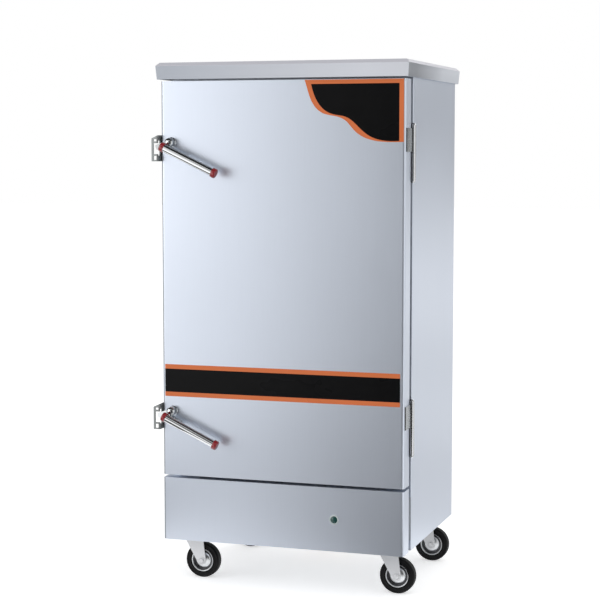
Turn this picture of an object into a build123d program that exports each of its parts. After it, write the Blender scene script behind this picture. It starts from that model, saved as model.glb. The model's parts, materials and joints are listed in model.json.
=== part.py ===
from build123d import *
import os
from math import atan2, cos, degrees, hypot, radians, sin

# Commercial food steamer: a tall stainless cabinet on four swivel casters, with one insulated door.
# Frame: millimetres, +Z up, +X to the viewer's right, the door faces -Y.
# While modelling, x = 0 is the middle of the cabinet, y = 0 the door's front face and z = 0 the floor.
# At the end every piece moves by one shift, so that the origin is at the bottom centre of the whole.

# Overall sizes
cabinet_width = 700.0
overall_height = 1460.0
body_depth = 491.0
door_thickness = 54.0
seal_gap = 25.0
caster_height = 125.0
fascia_height = 177.0
door_gap = 8.0
cap_gap = 5.0
cap_height = 46.0
cap_overhang = 11.0

# Sheet metal
sheet = 1.2
bend_radius = 2.5
corner_radius = 8.0
front_return = 24.0
back_return = 15.0

# Clearances
fit = 0.3
running = 0.05
overrun = 5.0

# Top cover
cap_taper = 3.0
cap_chamfer = 9.0
cap_lip = 14.0

# Base frame and floor pan
rail_width = 74.0
rail_height = 30.0
rail_wall = 3.0
cross_width = 40.0
floor_flange = 25.0

# Cooking chamber
seal_inset = 25.0
seal_width = 16.0
seal_margin = 4.0
seal_base = 5.0
chamber_depth = 448.0
chamber_corner = 10.0
liner_sheet = 1.0
liner_flange = 18.0

# Water tank and steam baffle
tank_side_margin = 35.0
tank_end_margin = 30.0
tank_depth = 149.0
tank_flange = 14.0
baffle_height = 20.0
baffle_side_margin = 20.0
baffle_end_margin = 16.0
slot_width = 12.0
slot_length = 78.0
slots_across = 5
slots_deep = 9

# Tray racks
post_width = 26.0
post_depth = 8.0
post_wall = 1.5
post_end_margin = 50.0
post_floor_gap = 30.0
post_top_gap = 14.0
runner_pitch = 96.0
runner_first = 62.0
runner_head_room = 60.0
runner_ledge = 20.0
runner_drop = 15.0
runner_sheet = 1.5
runner_end_margin = 10.0

# Heating elements
element_count = 3
element_pitch = 150.0
element_radius = 5.5
element_leg_gap = 42.0
element_height = 42.0
element_reach = 340.0
element_flange_radius = 34.0
element_flange_thickness = 6.0
element_plug_radius = 30.0
terminal_radius = 3.0
terminal_length = 18.0

# Float box, float valve and float
float_box_width = 60.0
float_box_length = 150.0
float_box_height = 110.0
float_box_level = 70.0
float_box_back = 8.0
float_valve_level = 84.0
float_valve_radius = 9.0
float_valve_length = 26.0
float_valve_bore = 3.0
float_shank_radius = 12.0
float_shank_past_nut = 3.0
float_tail_radius = 10.4
float_tail_length = 15.0
float_nut_flats = 30.0
float_nut_thickness = 6.0
float_rod_radius = 2.0
float_ball_gap = 10.8
float_ball_radius = 20.0
float_eye_radius = 5.0
float_eye_width = 7.0
float_ear_thickness = 2.5
float_ear_reach = 12.0
float_pin_radius = 1.6
float_droop = 18.0
link_pipe_radius = 8.0
link_pipe_bore = 6.5

# Drain valve
drain_pipe_radius = 13.2
drain_bore = 10.0
drain_bend = 30.0
drain_level = 92.0
drain_start_back = 105.0
valve_body_radius = 17.0
valve_body_length = 46.0
valve_hex_flats = 31.0
valve_hex_length = 11.0
valve_outlet_length = 18.0
stem_radius = 5.0
stem_length = 5.0
lever_length = 68.0
lever_width = 14.0
lever_thickness = 2.5
lever_hub_radius = 10.0

# Steam vent and cable gland
vent_radius = 17.5
vent_spigot_radius = 16.0
vent_bore = 13.0
vent_flange_radius = 30.0
vent_flange_thickness = 2.0
vent_drop = 60.0
vent_spigot_length = 15.0
gland_radius = 14.0
gland_bore = 7.0
gland_flats = 30.0
gland_hex_length = 8.0
gland_dome_length = 11.0
gland_x_share = 0.72
gland_level = 62.0

# Electrical parts on the floor pan
terminal_block_size = (96.0, 34.0, 24.0)
terminal_poles = 5
terminal_wall = 3.0
terminal_slot_depth = 12.0
contactor_size = (58.0, 62.0, 44.0)
contactor_step = 12.0
electric_side_gap = 16.0
electric_front = 300.0
electric_spacing = 60.0

# Vent slots of the back panel
louvre_count = 6
louvre_length = 90.0
louvre_height = 5.0
louvre_pitch = 14.0
louvre_level = 60.0

# Fascia, its brackets and the lamp
fascia_lip = 16.0
bracket_height = 120.0
lamp_x = 154.0
lamp_level = 89.0
lamp_lens_radius = 10.0
lamp_bezel_radius = 13.5
lamp_bezel_height = 3.0
lamp_body_radius = 11.0
lamp_body_length = 32.0
lamp_dome = 3.0
lamp_nut_radius = 15.0
lamp_nut_thickness = 4.0

# Door
pan_flange = 20.0
pan_raise = 8.0
pan_raise_taper = 7.0
door_foam_front_gap = 1.0

# Coloured panels on the door
film = 0.8
band_height = 90.0
band_level = 223.0
band_trim = 12.5
band_end = 4.0
corner_width = 276.0
corner_height = 167.5
corner_right_gap = 5.0
corner_trim = 12.5
corner_curve_shares = [
    (0.0, 0.0), (0.025, 0.14), (0.065, 0.33), (0.13, 0.48), (0.20, 0.55), (0.30, 0.585),
    (0.36, 0.61), (0.42, 0.665), (0.50, 0.81), (0.60, 0.925), (0.71, 0.98), (0.82, 1.0), (1.0, 1.0)]
corner_inner_shares = [
    (0.066, 0.07), (0.102, 0.266), (0.161, 0.426), (0.24, 0.528), (0.342, 0.574),
    (0.413, 0.597), (0.485, 0.666), (0.572, 0.80), (0.67, 0.916), (0.778, 0.973), (0.947, 0.985)]

# Hinges
hinge_radius = 8.0
hinge_length = 160.0
hinge_offset = 3.0
hinge_leaf_thickness = 3.0
hinge_leaf_height = 66.0
hinge_axis_back = 12.0
hinge_door_leaf_reach = 6.0
hinge_pin_radius = 4.0
hinge_split_gap = 0.6
hinge_tip = 7.0
hinge_top_drop = 197.0
hinge_bottom_rise = 156.0

# Latches
latch_inset = 31.0
latch_top_drop = 168.0
latch_bottom_rise = 182.0
latch_slope = 25.0
latch_base_radius = 14.5
latch_base_thickness = 3.0
latch_bolt_radius = 4.0
latch_bolt_length = 17.0
hub_radius = 13.0
hub_height = 26.0
hub_dome = 11.0
tube_radius = 11.0
tube_wall = 1.5
tube_length = 171.0
tube_front = 40.0
tube_past_pivot = 5.7
tube_below_pivot = 16.2
tube_cap_radius = 13.5
tube_cap_head = 4.5
tube_cap_cup = 8.0
tube_cap_gap = 1.0
saddle_length = 40.0
saddle_width = 16.0
saddle_back = 14.0
nose_length = 44.0
nose_height = 15.0
nose_thickness = 6.0
nose_front = 12.0
nose_angle = 19.2

# Latch keepers
keeper_sheet = 3.0
keeper_height = 72.0
keeper_packer = 1.5
keeper_lip_width = 19.5
keeper_lip_front = 18.0
keeper_foot_length = 40.0
keeper_foot_gap = 5.0
keeper_rise = 20.0
keeper_slant = 10.0
keeper_post = 6.0
keeper_bend = 4.5
keeper_window_tops = (11.0, 22.0, 57.0)
keeper_window_heights = (6.0, 30.0, 11.0)
keeper_slot_rise = 5.0
keeper_slot_fall = 36.0
keeper_slot_back = 2.0
keeper_screw_radius = 3.0
keeper_screw_head = 5.5
keeper_screw_head_height = 2.4
keeper_screw_pitch = 44.0

# Casters
caster_side_inset = 62.0
caster_front = 95.0
caster_back = 490.0
caster_trail = 22.0
wheel_radius = 50.0
wheel_width = 28.0
rim_radius = 33.0
rim_width = 25.0
tyre_shoulder = 5.0
hub_tube_radius = 9.5
hub_tube_side_gap = 0.5
axle_radius = 5.0
axle_head_radius = 8.0
axle_head_height = 5.0
fork_wall = 2.5
fork_side_gap = 3.0
fork_top_gap = 8.0
fork_top_width = 54.0
fork_eye_radius = 13.0
fork_bend = 5.0
race_radius = 26.0
race_waist = 19.0
race_gap = 0.4
king_pin_radius = 6.0
king_pin_head_radius = 10.0
king_pin_head_height = 4.0
plate_length = 76.0
plate_width = 62.0
plate_thickness = 3.0
plate_corner = 6.0
plate_hole_x = 56.0
plate_hole_y = 42.0
bolt_radius = 4.0
bolt_head_radius = 7.0
bolt_head_height = 4.5
bolt_length = 16.0

# Levels and places that follow from the sizes above
half_width = cabinet_width / 2
frame_y = door_thickness + seal_gap
back_y = frame_y + body_depth
bottom_z = caster_height
fascia_top = bottom_z + fascia_height
door_bottom = fascia_top + door_gap
cap_bottom = overall_height - cap_height
door_top = cap_bottom - cap_gap
panel_top = overall_height - sheet - fit
frame_face = frame_y + sheet
frame_back = frame_face + sheet
inside_x = half_width - bend_radius - fit
seal_outer_x = half_width - seal_inset
chamber_x = seal_outer_x - seal_width - seal_margin
chamber_floor = door_bottom + seal_inset + seal_width + seal_margin
chamber_top = door_top - seal_inset - seal_width - seal_margin
chamber_back = frame_back + chamber_depth
runner_room = chamber_top - chamber_floor - runner_first - runner_head_room
runner_levels = 1 + int(runner_room / runner_pitch)
rail_top = bottom_z + rail_height
tank_x = chamber_x - tank_side_margin
tank_front = frame_back + tank_end_margin
tank_back = chamber_back - tank_end_margin
tank_top = chamber_floor - liner_sheet
tank_floor = tank_top - tank_depth
panel_back_face = back_y - sheet
panel_front_face = panel_back_face - sheet
hinge_x = half_width + hinge_offset
hinge_y = door_thickness + hinge_axis_back
latch_x = -half_width + latch_inset
latch_levels = {"upper": door_top - latch_top_drop, "lower": door_bottom + latch_bottom_rise}
hinge_levels = (door_top - hinge_top_drop, door_bottom + hinge_bottom_rise)
caster_x = half_width - caster_side_inset
caster_places = {
    "front_left": (-caster_x, caster_front), "front_right": (caster_x, caster_front),
    "rear_left": (-caster_x, caster_back), "rear_right": (caster_x, caster_back)}
fork_inner = wheel_width / 2 + fork_side_gap
fork_outer = fork_inner + fork_wall
fork_crown_top = 2 * wheel_radius + fork_top_gap + fork_wall
drain_y = tank_back - drain_start_back
vent_z = chamber_top - vent_drop
float_box_x = -(inside_x - sheet - fit)
inlet_x = float_box_x + float_box_width / 2
float_pivot_back = sheet + float_valve_length + float_ear_reach / 2
float_reach = float_box_length - float_pivot_back - float_ball_gap - float_ball_radius
inlet_z = rail_top + sheet + float_box_level + float_valve_level
gland_x = half_width * gland_x_share
gland_z = rail_top + gland_level


def block(x0, x1, y0, y1, z0, z1):
    """A box between two corners."""
    return Pos((x0 + x1) / 2, (y0 + y1) / 2, (z0 + z1) / 2) * Box(x1 - x0, y1 - y0, z1 - z0)


def on_side(side, near, far):
    """The low and high x of a piece that stands between two distances on one side of the middle."""
    return sorted((side * near, side * far))


def rod(radius, start, end):
    """A round bar from one point to another."""
    run = Vector(*end) - Vector(*start)
    plane = Plane(origin=start, z_dir=run)
    return extrude(plane * Circle(radius), run.length)


def tube(outer, bore, start, end):
    """A pipe from one point to another."""
    return rod(outer, start, end) - rod(bore, start, end)


def hexagon(flats, start, end):
    """A six-sided bar from one point to another."""
    run = Vector(*end) - Vector(*start)
    plane = Plane(origin=start, z_dir=run)
    return extrude(plane * RegularPolygon(flats / 2, 6, major_radius=False), run.length)


def folded(points, thickness, low, high, side=Side.LEFT, radius=bend_radius):
    """A strip folded along a line in plan and as tall as low to high, with rounded bends."""
    line = FilletPolyline(*points, radius=radius).wire()
    outline = line.offset_2d(thickness, kind=Kind.ARC, side=side, closed=True)
    return Pos(0, 0, low) * extrude(make_face(outline), high - low)


def turned(points, origin, axis):
    """A solid of revolution from (radius, height) points, turned about an axis through origin."""
    face = make_face(Polyline(*[(r, 0, h) for r, h in points], close=True))
    solid = revolve(face, Axis.Z)
    return Plane(origin=origin, z_dir=axis).location * solid


def side_panel():
    """The right-hand skin, with its front and back returns."""
    points = [
        (half_width - front_return, frame_y), (half_width, frame_y),
        (half_width, back_y), (half_width - back_return, back_y)]
    return folded(points, sheet, bottom_z, panel_top)


def left_panel():
    """The left-hand skin, drilled for the keepers' screws."""
    panel = mirror(side_panel(), Plane.YZ)
    for y, z in keeper_screw_places():
        panel -= rod(keeper_screw_radius + fit, (-half_width - overrun, y, z), (-half_width + overrun, y, z))
    return panel


def back_panel():
    """The back sheet, inside the side panels' returns, with vent slots and its three holes."""
    panel = block(-inside_x, inside_x, panel_front_face, panel_back_face, bottom_z, panel_top)
    for side in (-1, 1):
        for row in range(louvre_count):
            z = rail_top + louvre_level + row * louvre_pitch
            x = side * (louvre_length / 2 + back_return)
            cut = block(
                x - louvre_length / 2, x + louvre_length / 2,
                panel_front_face - overrun, panel_back_face + overrun, z, z + louvre_height)
            panel -= cut
    holes = [
        (vent_radius + fit, 0, vent_z), (float_shank_radius + fit, inlet_x, inlet_z),
        (gland_radius + fit, gland_x, gland_z)]
    for radius, x, z in holes:
        panel -= rod(radius, (x, panel_front_face - overrun, z), (x, panel_back_face + overrun, z))
    return panel


def top_cover():
    """The folded cap: a slightly tapered skirt, a chamfered top edge and a lip turned in below."""
    def section(inset, z):
        width = cabinet_width + 2 * (cap_overhang - inset)
        depth = back_y + 2 * (cap_overhang - inset)
        return Pos(0, back_y / 2, z) * Rectangle(width, depth).face()

    levels = [(cap_taper, cap_bottom), (0, overall_height - cap_chamfer), (cap_chamfer, overall_height)]
    outer = loft([section(inset, z) for inset, z in levels], ruled=True)
    inner_levels = [
        (cap_taper + sheet, cap_bottom + sheet), (sheet, overall_height - cap_chamfer),
        (cap_chamfer + sheet / 2, overall_height - sheet)]
    inner = loft([section(inset, z) for inset, z in inner_levels], ruled=True)
    opening = block(
        -half_width - fit, half_width + fit, cap_lip - cap_overhang, back_y + fit,
        cap_bottom - overrun, cap_bottom + sheet + overrun)
    return outer - inner - opening


def base_frame():
    """Two channels along the depth and two across, welded into one ladder under the floor pan."""
    front = door_thickness + fit
    back = panel_front_face - fit

    def channel_run(x0, x1, y0, y1, along_x):
        solid = block(x0, x1, y0, y1, bottom_z, rail_top)
        if along_x:
            return solid - block(
                x0 - overrun, x1 + overrun, y0 + rail_wall, y1 - rail_wall,
                bottom_z + rail_wall, rail_top + overrun)
        return solid - block(
            x0 + rail_wall, x1 - rail_wall, y0 - overrun, y1 + overrun,
            bottom_z + rail_wall, rail_top + overrun)

    rails = []
    for side in (-1, 1):
        x = side * caster_x
        rails.append(channel_run(x - rail_width / 2, x + rail_width / 2, front, back, False))
    inner = caster_x - rail_width / 2
    for y in (frame_back + fit, back - cross_width):
        rails.append(channel_run(-inner, inner, y, y + cross_width, True))
    ladder = rails[0] + rails[1] + rails[2] + rails[3]
    for x, y in caster_places.values():
        for dx in (-plate_hole_x / 2, plate_hole_x / 2):
            for dy in (-plate_hole_y / 2, plate_hole_y / 2):
                ladder -= rod(
                    bolt_radius + fit, (x + dx, y + dy, bottom_z - overrun),
                    (x + dx, y + dy, bottom_z + rail_wall + overrun))
    return ladder


def floor_pan():
    """The shelf over the base frame, with flanges turned up and a hole for the drain pipe."""
    pan = block(
        -inside_x, inside_x, frame_back + fit, panel_front_face - fit, rail_top, rail_top + floor_flange)
    pan = offset(pan, amount=-sheet, openings=pan.faces().sort_by(Axis.Z)[-1])
    return pan - rod(
        drain_pipe_radius + fit, (0, drain_y, rail_top - overrun), (0, drain_y, rail_top + overrun))


def front_frame():
    """The face that the door seals on: strips welded round the chamber's mouth and a service hole."""
    step = rail_top + floor_flange
    sill = chamber_floor - 2 * liner_flange
    strips = [
        (-inside_x, inside_x, chamber_top, panel_top - cap_chamfer),
        (-chamber_x, chamber_x, sill, chamber_floor), (-chamber_x, chamber_x, rail_top, step)]
    for side in (-1, 1):
        strips.append((*on_side(side, chamber_x, inside_x), rail_top, chamber_top))
        strips.append((*on_side(side, tank_x, chamber_x), step, sill))
    return [block(x0, x1, frame_face, frame_back, z0, z1) for x0, x1, z0, z1 in strips]


def liner_corner(side, z, upward):
    """One rounded strip of the chamber, between a side wall and the roof or the floor."""
    x = side * (chamber_x - chamber_corner)
    start = (x, frame_back + liner_sheet, z)
    end = (x, chamber_back, z)
    reach = chamber_corner + liner_sheet
    quarter = block(
        *on_side(side, chamber_x - chamber_corner, chamber_x + liner_sheet), frame_back, chamber_back,
        *sorted((z, z + upward * reach)))
    return tube(reach, chamber_corner, start, end) & quarter


def inner_liner():
    """The chamber: flat sheets and rounded corner strips, welded, with a flange behind the front frame."""
    t = liner_sheet
    start = frame_back + t
    flat_x = chamber_x - chamber_corner
    low = chamber_floor + chamber_corner
    high = chamber_top - chamber_corner
    back = block(
        -chamber_x - t, chamber_x + t, chamber_back, chamber_back + t, chamber_floor - t, chamber_top + t)
    back -= rod(
        vent_radius + fit, (0, chamber_back - overrun, vent_z), (0, chamber_back + t + overrun, vent_z))
    outer_x = chamber_x + liner_flange
    pieces = [
        back,
        block(-flat_x, flat_x, start, chamber_back, chamber_top, chamber_top + t),
        block(-flat_x, flat_x, start, tank_front, chamber_floor - t, chamber_floor),
        block(-flat_x, flat_x, tank_back, chamber_back, chamber_floor - t, chamber_floor),
        block(-outer_x, outer_x, frame_back, start, chamber_top, chamber_top + liner_flange),
        block(-outer_x, outer_x, frame_back, start, chamber_floor - liner_flange, chamber_floor)]
    for side in (-1, 1):
        wall = on_side(side, chamber_x, chamber_x + t)
        ledge = on_side(side, tank_x, flat_x)
        flange = on_side(side, chamber_x, outer_x)
        pieces.append(block(*wall, start, chamber_back, low, high))
        pieces.append(block(*ledge, tank_front, tank_back, chamber_floor - t, chamber_floor))
        pieces.append(block(*flange, frame_back, start, chamber_floor, chamber_top))
        pieces.append(liner_corner(side, low, -1))
        pieces.append(liner_corner(side, high, 1))
    return pieces


def wall_insulation():
    """Four foam slabs, between the chamber and the skins."""
    low = chamber_floor - liner_sheet
    high = chamber_top + liner_sheet + fit
    side = chamber_x + liner_sheet + fit
    start = frame_back + liner_sheet + fit
    back = chamber_back + liner_sheet + fit
    skin = half_width - sheet - fit
    slab_top = panel_top - cap_chamfer - sheet
    pieces = [
        block(side, skin, start, back - fit, low, high),
        block(-skin, -side, start, back - fit, low, high),
        block(-skin, skin, start, back - fit, high + fit, slab_top),
        block(-skin, skin, back, panel_front_face - fit, low, slab_top)
        - rod(vent_flange_radius + fit, (0, back - overrun, vent_z), (0, back_y, vent_z))]
    return pieces


def post_channel(side, y):
    """One upright of a tray rack: a hat channel flat against the chamber's wall."""
    wall = side * chamber_x
    inner = side * (chamber_x - post_depth)
    half = post_width / 2
    low = chamber_floor + post_floor_gap
    high = chamber_top - post_top_gap
    flange = post_wall * 4
    face = block(min(inner, inner + side * post_wall), max(inner, inner + side * post_wall),
                 y - half, y + half, low, high)
    for edge in (-1, 1):
        web_y = y + edge * (half - post_wall / 2)
        face += block(min(wall, inner), max(wall, inner),
                      web_y - post_wall / 2, web_y + post_wall / 2, low, high)
        foot_y = y + edge * (half + flange / 2 - post_wall / 2)
        foot_in = wall - side * post_wall
        face += block(min(wall, foot_in), max(wall, foot_in),
                      foot_y - flange / 2, foot_y + flange / 2, low, high)
    return face


def rack_posts():
    """Four rack uprights, two on each side."""
    posts = []
    for side in (-1, 1):
        for y in (frame_back + post_end_margin, chamber_back - post_end_margin):
            posts.append(post_channel(side, y))
    return posts


def rack_runners():
    """Levels of angle runners on each side, their upright legs flat on the posts."""
    runners = []
    front = frame_back + runner_end_margin
    back = chamber_back - runner_end_margin
    for level in range(runner_levels):
        top = runner_top(level)
        for side in (-1, 1):
            outer = chamber_x - post_depth
            profile = FilletPolyline(
                (outer, top - runner_drop), (outer, top), (outer - runner_ledge, top),
                radius=bend_radius).wire()
            outline = profile.offset_2d(runner_sheet, kind=Kind.ARC, side=Side.LEFT, closed=True)
            angle = extrude(Plane.XZ * make_face(outline), -(back - front))
            angle = Pos(0, front, 0) * angle
            runners.append(angle if side > 0 else mirror(angle, Plane.YZ))
    return runners


def runner_top(level):
    """The height that a tray rests on at one level."""
    return chamber_floor + runner_first + level * runner_pitch


def element_places():
    """The x positions of the heating elements."""
    middle = (element_count - 1) / 2
    return [(index - middle) * element_pitch for index in range(element_count)]


def water_tank():
    """The pan below the chamber that the elements boil: welded sheets, hung from a rim."""
    wall_top = tank_top - sheet
    wall_foot = tank_floor + sheet
    front = tank_front + sheet
    back = tank_back - sheet
    rim_x = tank_x + tank_flange
    floor = block(-tank_x, tank_x, tank_front, tank_back, tank_floor, wall_foot)
    floor -= rod(drain_bore, (0, drain_y, tank_floor - overrun), (0, drain_y, wall_foot + overrun))
    back_wall = block(-tank_x, tank_x, back, tank_back, wall_foot, wall_top)
    z = tank_floor + element_height
    for x in element_places():
        back_wall -= rod(element_plug_radius + fit, (x, back - overrun, z), (x, tank_back + overrun, z))
    pieces = [
        floor, back_wall,
        block(-tank_x, tank_x, tank_front, front, wall_foot, wall_top),
        block(-rim_x, rim_x, tank_front - tank_flange, front, wall_top, tank_top),
        block(-rim_x, rim_x, back, tank_back + tank_flange, wall_top, tank_top)]
    link_y = float_box_front() + float_box_length / 4
    link_hole = rod(
        link_pipe_radius + fit, (-tank_x - overrun, link_y, link_level()), (-front, link_y, link_level()))
    for side in (-1, 1):
        wall = block(*on_side(side, tank_x - sheet, tank_x), front, back, wall_foot, wall_top)
        pieces.append(wall - link_hole if side < 0 else wall)
        pieces.append(block(*on_side(side, tank_x - sheet, rim_x), front, back, wall_top, tank_top))
    return pieces


def link_level():
    """The height of the short pipe that joins the float box to the tank."""
    return rail_top + sheet + float_box_level + 2 * link_pipe_radius


def float_box_front():
    """The float box's front face."""
    return panel_front_face - float_box_back - float_box_length


def steam_baffle():
    """The lift-out plate over the tank, with turned-down edges and rows of steam slots."""
    x = chamber_x - baffle_side_margin
    front = frame_back + baffle_end_margin
    back = chamber_back - baffle_end_margin
    plate = block(-x, x, front, back, chamber_floor, chamber_floor + baffle_height)
    plate = offset(plate, amount=-runner_sheet, openings=plate.faces().sort_by(Axis.Z)[0])
    step_x = 2 * x / slots_across
    step_y = (back - front) / slots_deep
    for column in range(slots_across):
        for row in range(slots_deep):
            cx = -x + (column + 1 / 2) * step_x
            cy = front + (row + 1 / 2) * step_y
            plate -= block(
                cx - slot_length / 2, cx + slot_length / 2, cy - slot_width / 2, cy + slot_width / 2,
                chamber_floor + baffle_height - overrun, chamber_floor + baffle_height + overrun)
    return plate


def heating_elements():
    """Three immersion elements: a hairpin tube, its plug and flange, and two terminal studs."""
    pieces = []
    z = tank_floor + element_height
    flange_face = tank_back + fit
    half = element_leg_gap / 2
    for x in element_places():
        front = tank_back - element_reach
        path = FilletPolyline(
            (x - half, tank_back, z), (x - half, front, z), (x + half, front, z),
            (x + half, tank_back, z), radius=half * 0.98).wire()
        section = Plane(origin=path @ 0, z_dir=path % 0) * Circle(element_radius)
        element = sweep(section, path=path)
        element += rod(element_plug_radius, (x, tank_back - sheet - fit, z), (x, flange_face, z))
        flange_back = flange_face + element_flange_thickness
        element += rod(element_flange_radius, (x, flange_face, z), (x, flange_back, z))
        for side in (-1, 1):
            stud = (x + side * half, flange_back, z)
            element += rod(terminal_radius, stud, (x + side * half, flange_back + terminal_length, z))
        pieces.append(element)
    return pieces


def float_box():
    """The small open box beside the tank in which the float rides: sheets, link pipe and bracket."""
    low = rail_top + sheet + float_box_level
    high = low + float_box_height
    x0 = float_box_x
    x1 = x0 + float_box_width
    front = float_box_front()
    back = front + float_box_length
    back_wall = block(x0, x1, back - sheet, back, low + sheet, high)
    back_wall -= rod(
        float_shank_radius + fit, (inlet_x, back - 2 * sheet, inlet_z), (inlet_x, back + sheet, inlet_z))
    y = front + float_box_length / 4
    z = link_level()
    tank_wall = block(x1 - sheet, x1, front + sheet, back - sheet, low + sheet, high)
    tank_wall -= rod(link_pipe_bore, (x1 - 2 * sheet, y, z), (x1 + sheet, y, z))
    leg = block(x0, x0 + runner_ledge, front, back, rail_top + sheet, rail_top + 2 * sheet)
    leg += block(x0, x0 + sheet, front, back, rail_top + 2 * sheet, low)
    return [
        block(x0, x1, front, back, low, low + sheet), back_wall, tank_wall,
        block(x0, x1, front, front + sheet, low + sheet, high),
        block(x0, x0 + sheet, front + sheet, back - sheet, low + sheet, high),
        tube(link_pipe_radius, link_pipe_bore, (x1, y, z), (-tank_x + sheet, y, z)), leg]


def float_pivot():
    """The pin that the float's arm turns on."""
    return (inlet_x, float_box_front() + float_box_length - float_pivot_back, inlet_z)


def float_shank_ends():
    """The y positions where the valve's body thread and its hose tail end."""
    shank_end = back_y + fit + float_nut_thickness + float_shank_past_nut
    return shank_end, shank_end + float_tail_length


def float_valve():
    """The brass inlet valve: threaded shank through both walls, body, and two ears with a pin."""
    x, pivot_y, z = float_pivot()
    wall = float_box_front() + float_box_length - sheet
    body = rod(float_valve_radius, (x, wall - float_valve_length, z), (x, wall - float_nut_thickness, z))
    body += hexagon(float_nut_flats, (x, wall - float_nut_thickness, z), (x, wall, z))
    shank_end, tail_end = float_shank_ends()
    body += rod(float_shank_radius, (x, wall, z), (x, shank_end, z))
    body += rod(float_tail_radius, (x, shank_end, z), (x, tail_end, z))
    body -= rod(
        float_valve_bore, (x, wall - float_valve_length + overrun, z), (x, tail_end + overrun, z))
    ear_y = wall - float_valve_length
    for side in (-1, 1):
        inner = side * (float_eye_width / 2 + fit)
        outer = side * (float_eye_width / 2 + fit + float_ear_thickness)
        body += block(
            x + min(inner, outer), x + max(inner, outer), ear_y - float_ear_reach, ear_y + sheet,
            z - float_eye_radius, z + float_eye_radius)
    reach = float_eye_width / 2 + fit + float_ear_thickness
    body += rod(float_pin_radius, (x - reach, pivot_y, z), (x + reach, pivot_y, z))
    nut = hexagon(float_nut_flats, (x, back_y + fit, z), (x, back_y + fit + float_nut_thickness, z))
    nut -= rod(float_shank_radius + running, (x, back_y - overrun, z), (x, shank_end, z))
    return [body, nut]


def float_arm():
    """The float: an eye on the pin, a rod that droops at rest, and the ball."""
    x, y, z = float_pivot()
    eye = rod(float_eye_radius - fit, (x - float_eye_width / 2, y, z), (x + float_eye_width / 2, y, z))
    drop = radians(float_droop)
    end = (x, y - float_reach * cos(drop), z - float_reach * sin(drop))
    arm = eye + rod(float_rod_radius, (x, y, z), end) + Pos(*end) * Sphere(float_ball_radius)
    return arm - rod(float_pin_radius + running, (x - float_eye_width, y, z), (x + float_eye_width, y, z))


def drain_outlet_end():
    """The y position of the drain's open end."""
    return drain_y + drain_bend + overrun + 2 * valve_hex_length + valve_body_length + valve_outlet_length


def drain_valve():
    """The drain: a bent pipe from the tank's floor through the pan, and a ball valve under the floor."""
    start = (0, drain_y, tank_floor)
    corner = (0, drain_y, drain_level)
    pipe_end = drain_y + drain_bend + overrun
    path = FilletPolyline(start, corner, (0, pipe_end, drain_level), radius=drain_bend).wire()
    plane = Plane(origin=path @ 0, z_dir=path % 0)
    pipe = sweep(plane * Circle(drain_pipe_radius), path=path)
    pipe -= sweep(plane * Circle(drain_bore), path=path)
    pipe += rod(2 * drain_bore, (0, drain_y, tank_floor - sheet), start) - rod(
        drain_bore, (0, drain_y, tank_floor - overrun), (0, drain_y, tank_floor + overrun))
    y = pipe_end
    body = hexagon(valve_hex_flats, (0, y, drain_level), (0, y + valve_hex_length, drain_level))
    y += valve_hex_length
    waist = valve_hex_flats / 2 - sheet
    body += turned(
        [(0, 0), (waist, 0), (valve_body_radius, valve_body_length / 4),
         (valve_body_radius, valve_body_length * 3 / 4), (waist, valve_body_length), (0, valve_body_length)],
        (0, y, drain_level), (0, 1, 0))
    y += valve_body_length
    body += hexagon(valve_hex_flats, (0, y, drain_level), (0, y + valve_hex_length, drain_level))
    y += valve_hex_length
    body += rod(drain_pipe_radius, (0, y, drain_level), (0, y + valve_outlet_length, drain_level))
    body -= rod(
        drain_bore, (0, drain_outlet_end() - valve_outlet_length, drain_level),
        (0, drain_outlet_end() + overrun, drain_level))
    stem_y, stem_z = drain_stem()
    body += rod(stem_radius, (0, stem_y, drain_level), (0, stem_y, stem_z - stem_length))
    return [pipe, body]


def drain_stem():
    """The y position of the valve's stem and the height of the body's underside."""
    y = drain_y + drain_bend + overrun + valve_hex_length + valve_body_length / 2
    return y, drain_level - valve_body_radius


def drain_lever():
    """The valve's handle: shut at rest, it lies across the pipe; it turns a quarter to open."""
    stem_y, under = drain_stem()
    top = under - stem_length + lever_thickness
    low = top - lever_thickness
    plate = rod(lever_hub_radius, (0, stem_y, low), (0, stem_y, top))
    bar = block(-lever_length, 0, stem_y - lever_width / 2, stem_y + lever_width / 2, low, top)
    bar = fillet(bar.edges().filter_by(Axis.Z).group_by(Axis.X)[0], lever_width / 2 - fit)
    grip = block(
        -lever_length, -lever_length / 2, stem_y - lever_width / 2, stem_y + lever_width / 2,
        low - 2 * lever_thickness, low)
    grip = fillet(grip.edges().filter_by(Axis.Z).group_by(Axis.X)[0], lever_width / 2 - fit)
    lever = plate + bar + grip
    return lever - rod(stem_radius + running, (0, stem_y, low - overrun), (0, stem_y, top + overrun))


def steam_vent():
    """The vent through the back: a flange inside the chamber's back wall and a stub outside."""
    t = vent_flange_thickness
    start = chamber_back - t
    end = back_y + vent_spigot_length
    solid = rod(vent_flange_radius, (0, start, vent_z), (0, start + t, vent_z))
    solid += rod(vent_radius, (0, start, vent_z), (0, back_y, vent_z))
    solid += rod(vent_spigot_radius, (0, back_y, vent_z), (0, end, vent_z))
    return solid - rod(vent_bore, (0, start - overrun, vent_z), (0, end + overrun, vent_z))


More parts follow.
